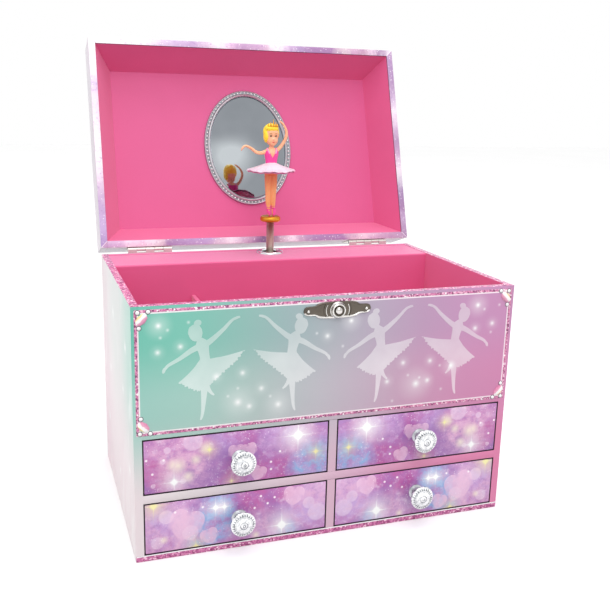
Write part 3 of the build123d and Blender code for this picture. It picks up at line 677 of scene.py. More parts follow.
front_print = front_paper()
silhouette_print = silhouette_paper()
glitter_rim = glitter_paper("glitter_rim_paper", rim_flakes)
glitter_base = glitter_paper("glitter_base_paper", base_flakes)
left_print = side_paper("left_paper", "#B4DBD0", "#DCE0DE", "#F3DFE5", "#F2CCDA")
right_print = side_paper("right_paper", "#D79ABF", "#E6C6DC", "#E4A8C6", "#EAD3E4")
back_print = back_paper()
drawer_prints = {
    "upper": drawer_paper("upper_drawer_paper", upper_print, 11.0),
    "lower": drawer_paper("lower_drawer_paper", lower_print, 23.0),
}
lid_rim_print = lid_paper("lid_rim_paper", True)
lid_outer_print = lid_paper("lid_outer_paper", False)
lining = lining_paper("pink_lining", "#DA5A8D", "#CE5082", "#E67AA6")
panel_lining = lining_paper("lid_panel_lining", "#D25089", "#C8487E", "#DE6E9E", "lid_liner_panel")
# A lighter copy of the lining for the ledge's top and the back panel's top: painted light on faces that look
# up.
painted_lit_ledge_lining = lining_paper("painted_lit_ledge_lining", "#DE6C9F", "#D46496", "#E888B2", front_tone="#DA5A8D")
# Plum paper: painted shade in the gaps round the drawer fronts, and a painted shadow line on the lid walls'
# inner faces between rim and lining.
painted_shade_paper = lining_paper("plum_painted_shade_paper", "#4A2340", "#3B1A33", "#5A2F4E")
drawer_lining = lining_paper("drawer_lining", "#D283A8", "#C4759C", "#E3A3C0")
base_paper = lining_paper("base_paper", "#E9E4E6", "#DCD6D9", "#F6F2F4")
nickel = brushed("dark_nickel", "#665F57", "#36322D", 0.30, (1.0, 1.0, 6.0))
bright_nickel = brushed("bright_nickel", "#D9D6D2", "#9A968F", 0.14, (3.0, 1.0, 3.0))
chrome = brushed("chrome", "#E6E7EA", "#B4B6BB", 0.08, (2.0, 2.0, 6.0), 0.15)
silver_frame = brushed("silver_frame", "#C6C8CC", "#9A9EA3", 0.3, (3.0, 3.0, 3.0), 0.3)
# A darker copy of the frame's silver: painted shade in the mirror frame's grooves and on its outer wall.
silver_painted_shade = brushed("silver_painted_shade", "#92979C", "#767B80", 0.4, (3.0, 3.0, 3.0), 0.3)
# Near-black: painted shade inside the eyelet's bore.
painted_bore_shade = plastic("painted_bore_shade", "#1E181A", "#120E10", 0.5)
hinge_steel = brushed("hinge_steel", "#DAD7D0", "#8F8B84", 0.34, (1.0, 5.0, 5.0))
spring_steel = brushed("spring_steel", "#C9BDAF", "#6A5F54", 0.25, (2.0, 2.0, 9.0), 0.35)
movement_steel = brushed("movement_steel", "#BEC1C4", "#868A8E", 0.20, (5.0, 1.0, 5.0))
brass = brushed("movement_brass", "#D9B25A", "#9C7430", 0.22, (4.0, 1.0, 4.0))
gold = brushed("gold_plastic", "#E0A23A", "#A8661C", 0.28, (1.0, 1.0, 2.0), 0.5)
mirror_face = mirror_glass()
# Bright and dark copies of the knobs' acrylic: painted reflections on the facets.
crystal_painted_bright = crystal_plastic("crystal_painted_bright", "#D2D4D8", "#FCFCFD")
crystal_painted_dark = crystal_plastic("crystal_painted_dark", "#54585E", "#A2A6AC")
skin = skin_plastic()
hair_plastic = plastic("hair_plastic", "#FFE93C", "#F8D028", 0.34)
bodice_plastic = plastic("bodice_plastic", "#EE3E9C", "#DC2A88", 0.32)
strap_plastic = plastic("strap_plastic", "#F59ACB", "#EE82BC", 0.34)
shoe_plastic = plastic("shoe_plastic", "#F0449F", "#DD2F8C", 0.32)
lip_plastic = plastic("lip_plastic", "#D8343C", "#C42630", 0.28)
eye_plastic = plastic("eye_plastic", "#5A3426", "#3C2018", 0.25)
brow_plastic = plastic("brow_plastic", "#B07430", "#9A6224", 0.4)
skirt_face = skirt_plastic()
rose_skirt = plastic("rose_skirt", "#E77FB4", "#D9649F", 0.4)
gem_face = gem_glass()
pearl_face = pearl()
# Dark discs under the pearls: a painted shadow.
painted_pearl_shadow = plastic("painted_pearl_shadow_disc", "#5E4A58", "#3E2E3A", 0.4)


# ---- mesh helpers ----
def stood(name, data):
    """A new object in the scene."""
    made = bpy.data.objects.new(name, data)
    bpy.context.scene.collection.objects.link(made)
    return made


def piece(name, shape, papers, body, stands_for=(), place=still, sharp=35.0):
    """A finished piece from a mesh drawn in millimetres, riding on its body."""
    mesh = bpy.data.meshes.new(name)
    shape.transform(Matrix.Scale(MM, 4))
    shape.to_mesh(mesh)
    shape.free()
    for paper in papers:
        mesh.materials.append(paper)
    mesh.shade_smooth()
    mesh.set_sharp_from_angle(angle=math.radians(sharp))
    made = stood(name, mesh)
    made.matrix_world = place
    if body:
        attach(made, body)
    if stands_for:
        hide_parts(*stands_for)
    return made


def add(shape, part):
    """Adds one mesh to another."""
    mesh = bpy.data.meshes.new("part")
    part.to_mesh(mesh)
    part.free()
    shape.from_mesh(mesh)
    bpy.data.meshes.remove(mesh)


def side_of(normal):
    axis = max(range(3), key=lambda i: abs(normal[i]))
    return "xyz"[axis] + ("+" if normal[axis] > 0 else "-")


def sheet_box(low, high, papers, cover, edges, size):
    """A box whose sides carry their own papers, with the named edges rounded over."""
    part = bmesh.new()
    bmesh.ops.create_cube(part, size=1)
    for vert in part.verts:
        vert.co = [low[i] if vert.co[i] < 0 else high[i] for i in range(3)]
    part.normal_update()
    for face in part.faces:
        face.material_index = papers.index(cover.get(side_of(face.normal), papers[0]))
    wanted = [set(pair.split()) for pair in edges.split(",")]
    rounded = [e for e in part.edges if {side_of(f.normal) for f in e.link_faces} in wanted]
    if rounded:
        bmesh.ops.bevel(part, geom=rounded, offset=size, segments=2, affect="EDGES", profile=0.6, material=-1)
    return part


def board(node, body, inside, cover={}, edges="", place=still, size=0.5):
    """A paper-covered board in place of a CAD node: inside shows where cover names no paper."""
    papers = list(dict.fromkeys([inside, *cover.values()]))
    shape = bmesh.new()
    for low, high in solids(node, place):
        sides = dict(cover)
        if "outer" in sides:
            sides["x-" if low.x + high.x < 0 else "x+"] = sides.pop("outer")
        add(shape, sheet_box(low, high, papers, sides, edges, size))
    return piece(f"{node}_board", shape, papers, body, [node], place)


def bored(made, x, z, radius):
    """Cuts a round hole along Y through a piece."""
    cutter_shape = bmesh.new()
    turn = Matrix.Translation((x * MM, 0, z * MM)) @ Matrix.Rotation(math.pi / 2, 4, "X")
    size = {"radius1": radius * MM, "radius2": radius * MM, "depth": 1}
    bmesh.ops.create_cone(cutter_shape, cap_ends=True, segments=48, matrix=turn, **size)
    cutter_mesh = bpy.data.meshes.new("cutter")
    cutter_shape.to_mesh(cutter_mesh)
    cutter_shape.free()
    cutter = bpy.data.objects.new("cutter", cutter_mesh)
    bpy.context.scene.collection.objects.link(cutter)
    cut = made.modifiers.new("hole", "BOOLEAN")
    cut.object = cutter
    cut.operation = "DIFFERENCE"
    settled(made)
    bpy.data.objects.remove(cutter)
    return made


def settled(made):
    """Applies a piece's modifiers to its mesh."""
    bpy.context.view_layer.update()
    graph = bpy.context.evaluated_depsgraph_get()
    mesh = bpy.data.meshes.new_from_object(made.evaluated_get(graph))
    made.modifiers.clear()
    made.data = mesh
    return made


def circle(count, phase=0.0):
    """Angles spaced evenly round a circle."""
    return [2 * math.pi * (i + phase) / count for i in range(count)]


def leaned(u, v, lean):
    """A point turned about the origin."""
    return u * math.cos(lean) - v * math.sin(lean), u * math.sin(lean) + v * math.cos(lean)


def loft(rings, closed=False, caps=True, splits=None, look=0):
    """A skin over rings of points; a ring of one point is a pole.

    closed joins the last ring to the first. A row's split is 0 for four-sided faces, or 1 or -1 for
    triangles, by the way their diagonal runs. look is a material's number, or a rule that gives it
    from a face's row, place and half.
    """
    tone = look if callable(look) else lambda row, place, half: look
    part = bmesh.new()
    loops = [[part.verts.new(point) for point in ring] for ring in rings]
    count = max(len(loop) for loop in loops)
    following = loops[1:] + (loops[:1] if closed else [])
    for row, (lower, upper) in enumerate(zip(loops, following)):
        for i in range(count):
            j = (i + 1) % count
            a, b = lower[i % len(lower)], lower[j % len(lower)]
            d, c = upper[i % len(upper)], upper[j % len(upper)]
            halves = {0: [(a, b, c, d)], 1: [(a, b, d), (d, b, c)], -1: [(a, b, c), (a, c, d)]}
            for half, corners in enumerate(halves[splits[row] if splits else 0]):
                corners = list(dict.fromkeys(corners))
                if len(corners) > 2:
                    part.faces.new(corners).material_index = tone(row, i, half)
    if caps and not closed:
        for row in (0, len(loops) - 1):
            part.faces.new(loops[row]).material_index = tone(row, 0, 0)
    bmesh.ops.recalc_face_normals(part, faces=part.faces)
    return part


def lathe(shape, profile, centre, axis, segments, material=0, closed=False):
    """A profile of (radius, height) points turned about an axis through centre."""
    rings = []
    for radius, height in profile:
        angles = circle(segments) if radius > 1e-6 else [0.0]
        rings.append([(radius * math.cos(a), radius * math.sin(a), height) for a in angles])
    part = loft(rings, closed, False, look=material)
    quarters = {"Z": 0, "-Y": 1, "+Y": -1}[axis]
    part.transform(Matrix.Translation(centre) @ Matrix.Rotation(quarters * math.pi / 2, 4, "X"))
    add(shape, part)


def tube(shape, path, radius, sides, material=0, closed=False):
    """A round tube along points; radius is one number or one for each point."""
    points = [Vector(p) for p in path]
    radii = radius if isinstance(radius, list) else [radius] * len(points)
    rings = []
    side = None
    for i, point in enumerate(points):
        before = points[i - 1] if i or closed else points[0]
        after = points[(i + 1) % len(points)] if i + 1 < len(points) or closed else points[-1]
        along = (after - before).normalized()
        if side is None:
            side = along.orthogonal().normalized()
        side = (side - along * side.dot(along)).normalized()
        up = along.cross(side)
        rings.append([point + (side * math.cos(a) + up * math.sin(a)) * radii[i] for a in circle(sides)])
    add(shape, loft(rings, closed, look=material))


def ball(shape, centre, radii, material=0, turns=16, rings=10):
    """An egg shape with three radii."""
    part = bmesh.new()
    place = Matrix.Translation(centre) @ Matrix.Diagonal((*radii, 1))
    bmesh.ops.create_uvsphere(part, u_segments=turns, v_segments=rings, radius=1, matrix=place)
    for face in part.faces:
        face.material_index = material
    add(shape, part)


def smooth_path(points, steps=6):
    """A smooth curve through points of any dimension."""
    points = [np.array(p, float) for p in points]
    ends = [2 * points[0] - points[1], *points, 2 * points[-1] - points[-2]]
    path = []
    for a, b, c, d in zip(ends, ends[1:], ends[2:], ends[3:]):
        for i in range(steps):
            t = i / steps
            square, cube = 2 * a - 5 * b + 4 * c - d, 3 * b - a - 3 * c + d
            path.append(0.5 * (2 * b + (c - a) * t + square * t**2 + cube * t**3))
    path.append(points[-1])
    return path


def limb(shape, points, steps=5):
    """A limb through (x, y, z, radius) points with round ends."""
    path = smooth_path(points, steps)
    tube(shape, [p[:3] for p in path], [float(p[3]) for p in path], 14)
    for end in (path[0], path[-1]):
        ball(shape, end[:3], [float(end[3])] * 3)


def melted(made, voxel, rounds):
    """Fuses a piece's overlapping parts into one skin and smooths it."""
    fuse = made.modifiers.new("fuse", "REMESH")
    fuse.mode = "VOXEL"
    fuse.voxel_size = voxel * MM
    soften = made.modifiers.new("soften", "SMOOTH")
    soften.iterations = rounds
    soften.factor = 0.5
    settled(made)
    made.data.shade_smooth()


# ---- case ----
key_hole_radius = 4.5


def make_case():
    """The papered boards of the case: (node, inside, cover, rounded edges, radius) in each row."""
    front, rim, back = {"y-": front_print}, {"z+": glitter_rim}, {"y+": back_print}
    left = {"x-": left_print, **front, **rim, **back}
    right = {"x+": right_print, **front, **rim, **back}
    base = {"y-": glitter_base, "x-": left_print, "x+": right_print, **back, "z+": drawer_lining}
    base_rims = "y- z+, y- z-, x- z-, x+ z-, y+ z-, x- y-, x+ y-"
    boards = (
        ("left_side_panel", lining, left, "x- y-, x- z+, x- y+, x+ z+", 0.5),
        ("right_side_panel", lining, right, "x+ y-, x+ z+, x+ y+, x- z+", 0.5),
        ("back_panel", lining, {**back, "z+": painted_lit_ledge_lining}, "y- z+, y+ z+", 0.5),
        ("front_panel", lining, {**front, **rim}, "y- z+, y+ z+, y- z-", 0.5),
        ("drawer_shelf", drawer_lining, front, "y- z+, y- z-", 0.35),
        ("drawer_dividers", drawer_lining, front, "y- x+, y- x-", 0.35),
        ("base_panel", base_paper, base, base_rims, 0.35),
    )
    for node, inside, cover, edges, size in boards:
        made = board(node, "case", inside, cover, edges, size=size)
        if node == "back_panel":
            _, _, bush = centred("key_bush")
            bored(made, bush.x, bush.z, key_hole_radius)
    board("tray_floor", "case", lining)
    board("compartment_wall", "case", lining)
    board("tray_divider", "case", lining, {}, "x- z+, x+ z+", size=1.1)
    base_line()


def base_line():
    """The white line along the top of the glittered base edge."""
    low, high = extent("base_panel")
    inset, proud, sunk = 0.3, 0.12, 0.2
    bottom, top = high.z - 0.75, high.z - 0.1
    near = Vector((low.x + inset, low.y - proud, bottom))
    far = Vector((high.x - inset, low.y + sunk, top))
    shape = sheet_box(near, far, [pearl_face], {}, "y- z+, y- z-", 0.08)
    piece("base_edge_line", shape, [pearl_face], "case")


def carry(material, *carried):
    """CAD nodes whose shapes are right keep their meshes and get a finished material."""
    for node in carried:
        slots = nodes[node].data.materials
        slots.clear()
        slots.append(material)


# ---- the silhouettes on the front ----
def ribbon(points):
    """The outline of a limb through (x, z, half width) points."""
    path = smooth_path(points)
    left, right = [], []
    for i, (x, z, half) in enumerate(path):
        ahead = path[min(i + 1, len(path) - 1)]
        behind = path[max(i - 1, 0)]
        along = Vector((ahead[0] - behind[0], ahead[1] - behind[1])).normalized()
        side = Vector((-along.y, along.x))
        left.append((x + side.x * half, z + side.y * half))
        right.append((x - side.x * half, z - side.y * half))
    return left + right[::-1]


def oval(x, z, wide, tall, lean=0.0):
    turned = [leaned(wide * math.cos(a), tall * math.sin(a), lean) for a in circle(28)]
    return [(x + u, z + v) for u, v in turned]


def skirt_outline():
    """The lifted tutu: smooth top edges from the waist and a scalloped hem."""
    top = [(-1.2, 37.0), (6.0, 37.9), (15.0, 39.0), (26.2, 41.4)]
    left = [(-1.6, 37.0), (-5.0, 32.5), (-9.6, 28.0), (-14.0, 24.4)]
    hem = [(26.2, 41.4), (21.0, 34.8), (15.0, 29.8), (8.8, 24.4), (3.2, 19.6), (-1.5, 17.8)]
    hem += [(-7.6, 20.2), (-14.0, 24.4)]
    edge = smooth_path(hem, 12)
    scalloped = []
    for i, (x, z) in enumerate(edge[1:-1]):
        ahead = edge[i + 2] - edge[i]
        out = np.array([ahead[1], -ahead[0]]) / np.linalg.norm(ahead)
        lift = 0.75 * abs(math.sin(i * 0.62)) + 0.45 * math.sin(i * 1.9)
        scalloped.append((x + out[0] * lift, z + out[1] * lift))
    outline = [tuple(p) for p in smooth_path(top, 4)] + scalloped
    outline += [tuple(p) for p in smooth_path(left, 4)[::-1]]
    return outline


def dancer_outlines():
    """A dancer on one toe, drawn from that toe: x to the right and z up, in millimetres."""
    ovals = (
        (-3.6, 54.2, 4.1, 5.2, 0.12),
        (-2.3, 60.0, 2.3, 1.9, 0.3),
        (-6.9, 55.6, 1.0, 2.6, -0.2),
        (20.6, 61.6, 2.3, 0.85, 0.35),
        (-22.2, 32.8, 0.95, 1.9, -0.35),
    )
    torso = [(-1.3, 50.5, 1.5), (0.1, 47.0, 3.9), (1.2, 42.5, 3.2), (1.9, 38.0, 3.0), (1.5, 34.5, 4.4)]
    arm_up = [(1.6, 46.2, 1.9), (6.5, 49.6, 1.6), (13.2, 55.4, 1.15), (18.4, 60.6, 0.85), (23.0, 62.2, 0.6)]
    arm_out = [(-1.0, 46.0, 1.9), (-6.5, 43.4, 1.6), (-13.0, 39.2, 1.2), (-19.4, 35.8, 0.95)]
    arm_out += [(-21.6, 33.6, 0.8)]
    standing = [(1.6, 22.5, 2.6), (1.3, 17.0, 1.9), (0.9, 10.0, 1.35), (0.3, 4.0, 0.95), (-0.4, 1.2, 0.7)]
    standing += [(-0.9, 0.0, 0.35)]
    bent = [(2.6, 22.0, 1.9), (4.0, 18.9, 1.3), (5.8, 16.4, 0.85), (7.4, 15.0, 0.5)]
    limbs = (torso, arm_up, arm_out, standing, bent)
    return [oval(*row) for row in ovals] + [ribbon(points) for points in limbs] + [skirt_outline()]


def upright(outline):
    """The same outline, running anticlockwise."""
    area = sum(a[0] * b[1] - b[0] * a[1] for a, b in zip(outline, outline[1:] + outline[:1]))
    return outline if area > 0 else outline[::-1]


def flat_union(outlines, toe_x, toe_z, flip, front_y, thickness):
    """The outlines joined in one thin raised layer on the front."""
    points, faces = [], []
    for outline in outlines:
        placed = [(toe_x + (-x if flip else x), toe_z + z) for x, z in outline]
        placed = upright(placed)
        faces.append(list(range(len(points), len(points) + len(placed))))
        points += [Vector(p) for p in placed]
    verts, _, tris, *_ = geometry.delaunay_2d_cdt(points, [], faces, 1, 1e-4)
    shape = bmesh.new()
    made = [shape.verts.new((p.x, front_y, p.y)) for p in verts]
    for tri in tris:
        shape.faces.new([made[i] for i in tri])
    solid = bmesh.ops.extrude_face_region(shape, geom=shape.faces[:])
    for item in solid["geom"]:
        if isinstance(item, bmesh.types.BMVert):
            item.co.y -= thickness
    bmesh.ops.recalc_face_normals(shape, faces=shape.faces)
    return shape


def make_silhouettes():
    front_y = extent("front_panel")[0].y
    toe_z = 88.2
    sunk, raised = 0.03, 0.12
    toes = ((-84.3, False), (-26.8, True), (28.4, False), (85.0, True))
    for number, (toe_x, flip) in enumerate(toes, 1):
        shape = flat_union(dancer_outlines(), toe_x, toe_z, flip, front_y + sunk, raised)
        piece(f"silhouette_{number}", shape, [silhouette_print], "case")


def make_corner_gems():
    """A leaning cut gem and three pearls at each corner of the glitter border."""
    front_y = extent("front_panel")[0].y
    cuts = ((1.0, 0.0, 0.0), (1.0, 0.35, 0.0), (0.72, 0.85, 0.5), (0.34, 1.0, 0.0))
    half_long, half_wide, proud = 4.3, 2.7, 1.1
    pearl_shadow_disc = [(0, 0), (1.6, 0), (1.5, 0.12), (0, 0.14)]
    corners = (("top_left", -1, 1), ("top_right", 1, 1), ("low_left", -1, -1), ("low_right", 1, -1))
    for name, side, up in corners:
        lean = math.radians(-45) * side * up
        rings = []
        for scale, height, phase in cuts:
            ring = []
            for angle in circle(8, phase):
                x, z = leaned(half_long * scale * math.cos(angle), half_wide * scale * math.sin(angle), lean)
                y = front_y + 0.05 - height * proud
                ring.append((side * gem_x + x, y, frame_middle + up * gem_z + z))
            rings.append(ring)
        shape = loft(rings, splits=[-1] * 3)
        for across, above in ((121.0, 36.6), (115.0, 36.9), (120.4, 27.4)):
            spot = (side * across, front_y, frame_middle + up * above)
            # A thin dark disc under each pearl: a painted shadow.
            lathe(shape, pearl_shadow_disc, spot, "-Y", 20, 2)
            ball(shape, spot, (1.25, 0.9, 1.25), 1, 14, 8)
        papers = [gem_face, pearl_face, painted_pearl_shadow]
        piece(f"corner_gem_{name}", shape, papers, "case", sharp=20)


# ---- lid ----
def make_lid():
    """The papered boards of the lid: (node, inside, papered sides, rounded edges, radius) in each row."""
    upright_edges = "x- y-, x+ y-, x- y+, x+ y+"
    # The front and side walls' inner faces take the plum paper: a painted shadow line between the rim and the
    # lining.
    boards = (
        ("lid_front_wall", painted_shade_paper, "y-", "y- z-, y+ z-", 0.35),
        ("lid_rear_wall", lining, "y+", "y+ z-, y- z-", 0.35),
        ("lid_side_walls", painted_shade_paper, "outer y- y+", "x- z-, x+ z-, y- z-, y+ z-, " + upright_edges, 0.35),
        ("lid_top_panel", lining, "x- x+ y- y+ z+", "x- z+, x+ z+, y- z+, y+ z+, " + upright_edges, 0.9),
    )
    for node, inside, sides, edges, size in boards:
        cover = {side: lid_outer_print for side in sides.split()}
        if "z+" not in cover:
            cover["z-"] = lid_rim_print
        board(node, "lid", inside, cover, edges, lid_place, size)
    carry(panel_lining, "lid_liner_panel")
    carry(lining, "lid_liner_slopes")


def make_mirror():
    """The oval frame, a moulding with a row of beads between plain bands, and the glass."""
    low, high, centre = centred("mirror_frame", lid_place)
    half = (high - low) / 2
    seat = high.z
    profile = [(0.0, 0.0), (0.0, 1.0), (0.25, 1.6), (0.7, 1.85), (1.1, 1.65), (1.3, 1.25), (2.6, 1.2)]
    profile += [(2.8, 1.6), (3.3, 2.2), (3.9, 2.4), (4.5, 2.0), (4.9, 1.3), (4.9, 0.0)]
    # The outer wall and the groove faces take the darker silver: painted shade.
    painted_shade_sides = (0, 4, 5, 6, 11)
    rings = [[oval_spot(centre, half, angle, *step, seat) for step in profile] for angle in circle(180)]
    shape = loft(rings, closed=True, look=lambda row, place, _: int(place in painted_shade_sides))
    bead_line = 1.95
    for angle in even_angles(half.x - bead_line, half.y - bead_line, 84):
        ball(shape, oval_spot(centre, half, angle, bead_line, 1.35, seat), (0.66, 0.66, 0.75), 2, 12, 8)
    papers = [silver_frame, silver_painted_shade, pearl_face]
    piece("mirror_frame_beaded", shape, papers, "lid", ["mirror_frame"], lid_place, 40)
    low, high = extent("mirror_glass", lid_place)
    half = (high - low) / 2
    ground_edge = ((0.0, 0.0), (0.0, 0.9), (0.9, 1.4))
    rings = [[oval_spot(centre, half, angle, *step, seat) for angle in circle(120)] for step in ground_edge]
    shape = loft(rings)
    piece("mirror_pane", shape, [mirror_face], "lid", ["mirror_glass"], lid_place, 15)


def oval_spot(centre, half, angle, inward, height, seat):
    """A point on an ellipse, moved inward along its normal and raised from its seat."""
    x = half.x * math.cos(angle)
    y = half.y * math.sin(angle)
    normal = Vector((x / half.x**2, y / half.y**2)).normalized()
    return centre.x + x - normal.x * inward, centre.y + y - normal.y * inward, seat - height


def even_angles(half_wide, half_tall, count):
    """Angles that space points evenly round an ellipse."""
    fine = 3600
    angles = [2 * math.pi * i / fine for i in range(fine + 1)]
    steps = [math.hypot(half_wide * math.sin(a), half_tall * math.cos(a)) for a in angles[:-1]]
    run = np.concatenate([[0], np.cumsum(steps)])
    return [float(np.interp(run[-1] * i / count, run, angles)) for i in range(count)]


# ---- drawers ----
drawer_wall = 2.5


def make_drawers():
    for tag in drawers:
        body = f"drawer_{tag}"
        # The fronts' edges take the plum paper: painted shade in the gaps round the drawers.
        cover = dict.fromkeys(("x-", "x+", "z-", "z+"), painted_shade_paper)
        cover["y-"] = drawer_prints[tag.split("_")[0]]
        edges = "y- x-, y- x+, y- z-, y- z+, x- z-, x- z+, x+ z-, x+ z+"
        board(f"{body}_front", body, drawer_lining, cover, edges, size=0.6)
        make_drawer_walls(f"{body}_walls", body)
        board(f"{body}_bottom", body, drawer_lining)
        carry(silver_frame, f"knob_{tag}_collar")
        make_crystal(tag, body)


def make_drawer_walls(node, body):
    """The two sides and the back of a drawer, with softened top edges."""
    low, high = extent(node)
    inner_low = low.x + drawer_wall
    inner_high = high.x - drawer_wall
    boxes = (
        (low, (inner_low, high.y, high.z)),
        ((inner_high, low.y, low.z), high),
        ((inner_low, high.y - drawer_wall, low.z), (inner_high, high.y, high.z)),
    )
    shape = bmesh.new()
    for near, far in boxes:
        add(shape, sheet_box(near, far, [drawer_lining], {}, "x- z+, x+ z+, y+ z+", 0.5))
    piece(f"{node}_board", shape, [drawer_lining], body, [node])


def make_crystal(tag, body):
    """A clear cut knob: rings of facets between two grooves, round a small raised eye."""
    # Shaded faces take the dark copy and clear faces the bright one, painted reflections; cut rows alternate
    # the two.
    clear, shaded, cut = range(3)
    node = f"knob_{tag}_crystal"
    low, high, centre = centred(node)
    depth = high.y - low.y
    widest = (high.x - low.x) / 2 + 0.4
    rings = [(3.0, 0.0, 0.0, shaded), (3.2, 3.4, 0.5, shaded), (widest - 0.5, 5.9, 0.0, shaded)]
    rings += [(widest, 6.3, 0.0, cut), (widest - 0.1, 7.0, 0.0, clear), (widest - 0.5, 7.4, 0.0, cut)]
    rings += [(5.7, 8.2, 0.5, clear), (5.3, 8.4, 0.5, shaded), (5.05, 8.35, 0.5, clear)]
    rings += [(2.7, 8.9, 0.0, clear), (2.5, 9.0, 0.0, shaded), (2.1, 8.8, 0.0, clear)]
    rings += [(1.0, depth - 0.6, 0.5, shaded), (0.5, depth - 0.8, 0.5, clear)]
    turns = [round(2 * (upper[2] - lower[2])) for lower, upper in zip(rings, rings[1:])]

    def tone(row, place, half):
        look = rings[row][3]
        if look != cut:
            return look
        return (half if turns[row] else half + place) % 2

    loops = []
    for radius, out, phase, _ in rings:
        spots = [(radius * math.cos(a), radius * math.sin(a)) for a in circle(26, phase)]
        loops.append([(centre.x + x, high.y - out, centre.z + z) for x, z in spots])
    shape = loft(loops, splits=turns, look=tone)
    papers = [crystal_painted_bright, crystal_painted_dark]
    piece(f"knob_{tag}_cut_crystal", shape, papers, body, [node], sharp=4)


# ---- lock, nails, eyelet, stem, and the metal that keeps its CAD shape ----
def lens_half(x, half):
    """Half the lock plate's height at a distance from its middle: a boat with a stepped shoulder."""
    heights = [(0.0, 5.3), (6.0, 5.2), (10.0, 4.9), (12.6, 4.4), (13.8, 3.5), (14.8, 2.95), (19.0, 2.85)]
    heights += [(20.4, 2.6), (21.3, 1.9), (half - 0.25, 1.1), (half, 0.0)]
    return float(np.interp(abs(x), *zip(*heights)))


def make_lock():
    low, high, centre = centred("lock_plate")
    half = (high.x - low.x) / 2
    count = 60
    across = [half * math.cos(math.pi * i / count) for i in range(count + 1)]
    outline = [(x, lens_half(x, half)) for x in across]
    outline += [(-x, -z) for x, z in outline[1:-1]]
    rings = []
    for inset, out in ((0.0, 0.0), (0.0, 0.7), (0.3, 1.0), (0.75, 1.0), (1.05, 0.75)):
        slim_x, slim_z = 1 - inset / half, 1 - inset / 4.2
        rings.append([(centre.x + x * slim_x, high.y - out, centre.z + z * slim_z) for x, z in outline])
    shape = loft(rings)
    # The plate's lower part takes the bright nickel: a painted highlight.
    for face in shape.faces:
        face.material_index = int(face.calc_center_median().z < centre.z - 1.0)
    for side in (-1, 1):
        for reach, thick, tone in ((7.6, 0.3, 1), (8.9, 0.35, 0)):
            angles = [math.radians(5 * i - 30) for i in range(13)]
            spots = [(side * reach * math.cos(a), reach * math.sin(a) * 0.9) for a in angles]
            tube(shape, [(centre.x + x, low.y + 0.2, centre.z + z) for x, z in spots], thick, 8, tone)
    piece("lock_escutcheon", shape, [nickel, bright_nickel], "case", ["lock_plate"], sharp=30)
    _, high, centre = centred("lock_boss")
    profile = [(0, 0), (5.2, 0), (5.2, 0.25), (4.9, 0.5), (4.6, 1.6), (4.35, 2.2), (3.95, 2.45), (3.5, 2.35)]
    profile += [(3.2, 1.7), (2.7, 1.6), (2.3, 2.3), (1.9, 2.9), (1.3, 3.35), (0.6, 3.55), (0, 3.6)]
    shape = bmesh.new()
    lathe(shape, profile, (centre.x, high.y, centre.z), "-Y", 48)
    # The groove takes the dark nickel: painted shade.
    for face in shape.faces:
        spot = face.calc_center_median() - centre
        face.material_index = int(2.3 < math.hypot(spot.x, spot.z) < 3.5)
    piece("lock_button", shape, [bright_nickel, nickel], "case", ["lock_boss"])


def make_nails():
    """Domed nail heads on the lock plate and the hinge leaves."""
    shape = bmesh.new()
    for low, high in solids("case_nails"):
        seat, axis = (high.y, "-Y") if low.y < 0 else (low.y, "+Y")
        radius = (high.x - low.x) / 2
        tall = high.y - low.y
        dome = ((0, 0), (1, 0), (1, 0.35), (0.75, 0.8), (0.35, 1), (0, 1))
        profile = [(radius * out, tall * up) for out, up in dome]
        lathe(shape, profile, ((low.x + high.x) / 2, seat, (low.z + high.z) / 2), axis, 20)
    piece("nail_heads", shape, [bright_nickel], "case", ["case_nails"])


def carry_metal():
    """The hinges and the movement keep their CAD shapes."""
    carry(hinge_steel, "hinge_case_leaves", "hinge_lid_leaves")
    carry(movement_steel, "hinge_pins", "movement_bedplate", "movement_front_plate", "comb")
    carry(movement_steel, "dancer_spindle", "governor_fan", "winding_key")
    carry(brass, "spring_barrel", "pin_cylinder", "key_bush")
    # The ledge takes the lining's lighter copy: painted light on its top.
    carry(painted_lit_ledge_lining, "ledge_panel")


def make_eyelet():
    """A rolled metal eyelet round the stem's hole."""
    low, high, centre = centred("stem_eyelet")
    flange = (high.x - low.x) / 2
    seat = high.z - 2.0
    bore = 7.0
    profile = [(flange - 2.5, low.z), (flange - 2.5, seat), (flange, seat), (flange, seat + 0.7)]
    profile += [(flange - 0.35, seat + 1.35), (flange - 1.0, seat + 1.8), (flange - 1.7, seat + 2.0)]
    profile += [(bore + 1.1, seat + 1.85), (bore + 0.5, seat + 1.4), (bore + 0.15, seat + 0.7)]
    profile += [(bore, seat), (bore, low.z)]
    shape = bmesh.new()
    lathe(shape, profile, (centre.x, centre.y, 0), "Z", 64, closed=True)
    # The bore's faces take the near-black material: painted shade inside the hole.
    for face in shape.faces:
        spot = face.calc_center_median() - centre
        face.material_index = int(math.hypot(spot.x, spot.y) < bore + 0.25)
    piece("stem_eyelet_rolled", shape, [chrome, painted_bore_shade], "case", ["stem_eyelet"])


def make_stem():
    """The stem: a close-wound coil of wire."""
    low, high, centre = centred("stem_spring")
    wire = 0.46
    coil = (high.x - low.x) / 2 - wire
    pitch = 0.96
    turns = (high.z - low.z - 2 * wire) / pitch
    per_turn = 22
    path = []
    for i in range(int(turns * per_turn) + 1):
        angle = 2 * math.pi * i / per_turn
        height = low.z + wire + pitch * i / per_turn
        path.append((centre.x + coil * math.cos(angle), centre.y + coil * math.sin(angle), height))
    shape = bmesh.new()
    tube(shape, path, wire, 7)
    made = piece("stem_coil", shape, [spring_steel], None, ["stem_spring"])
    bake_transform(made)


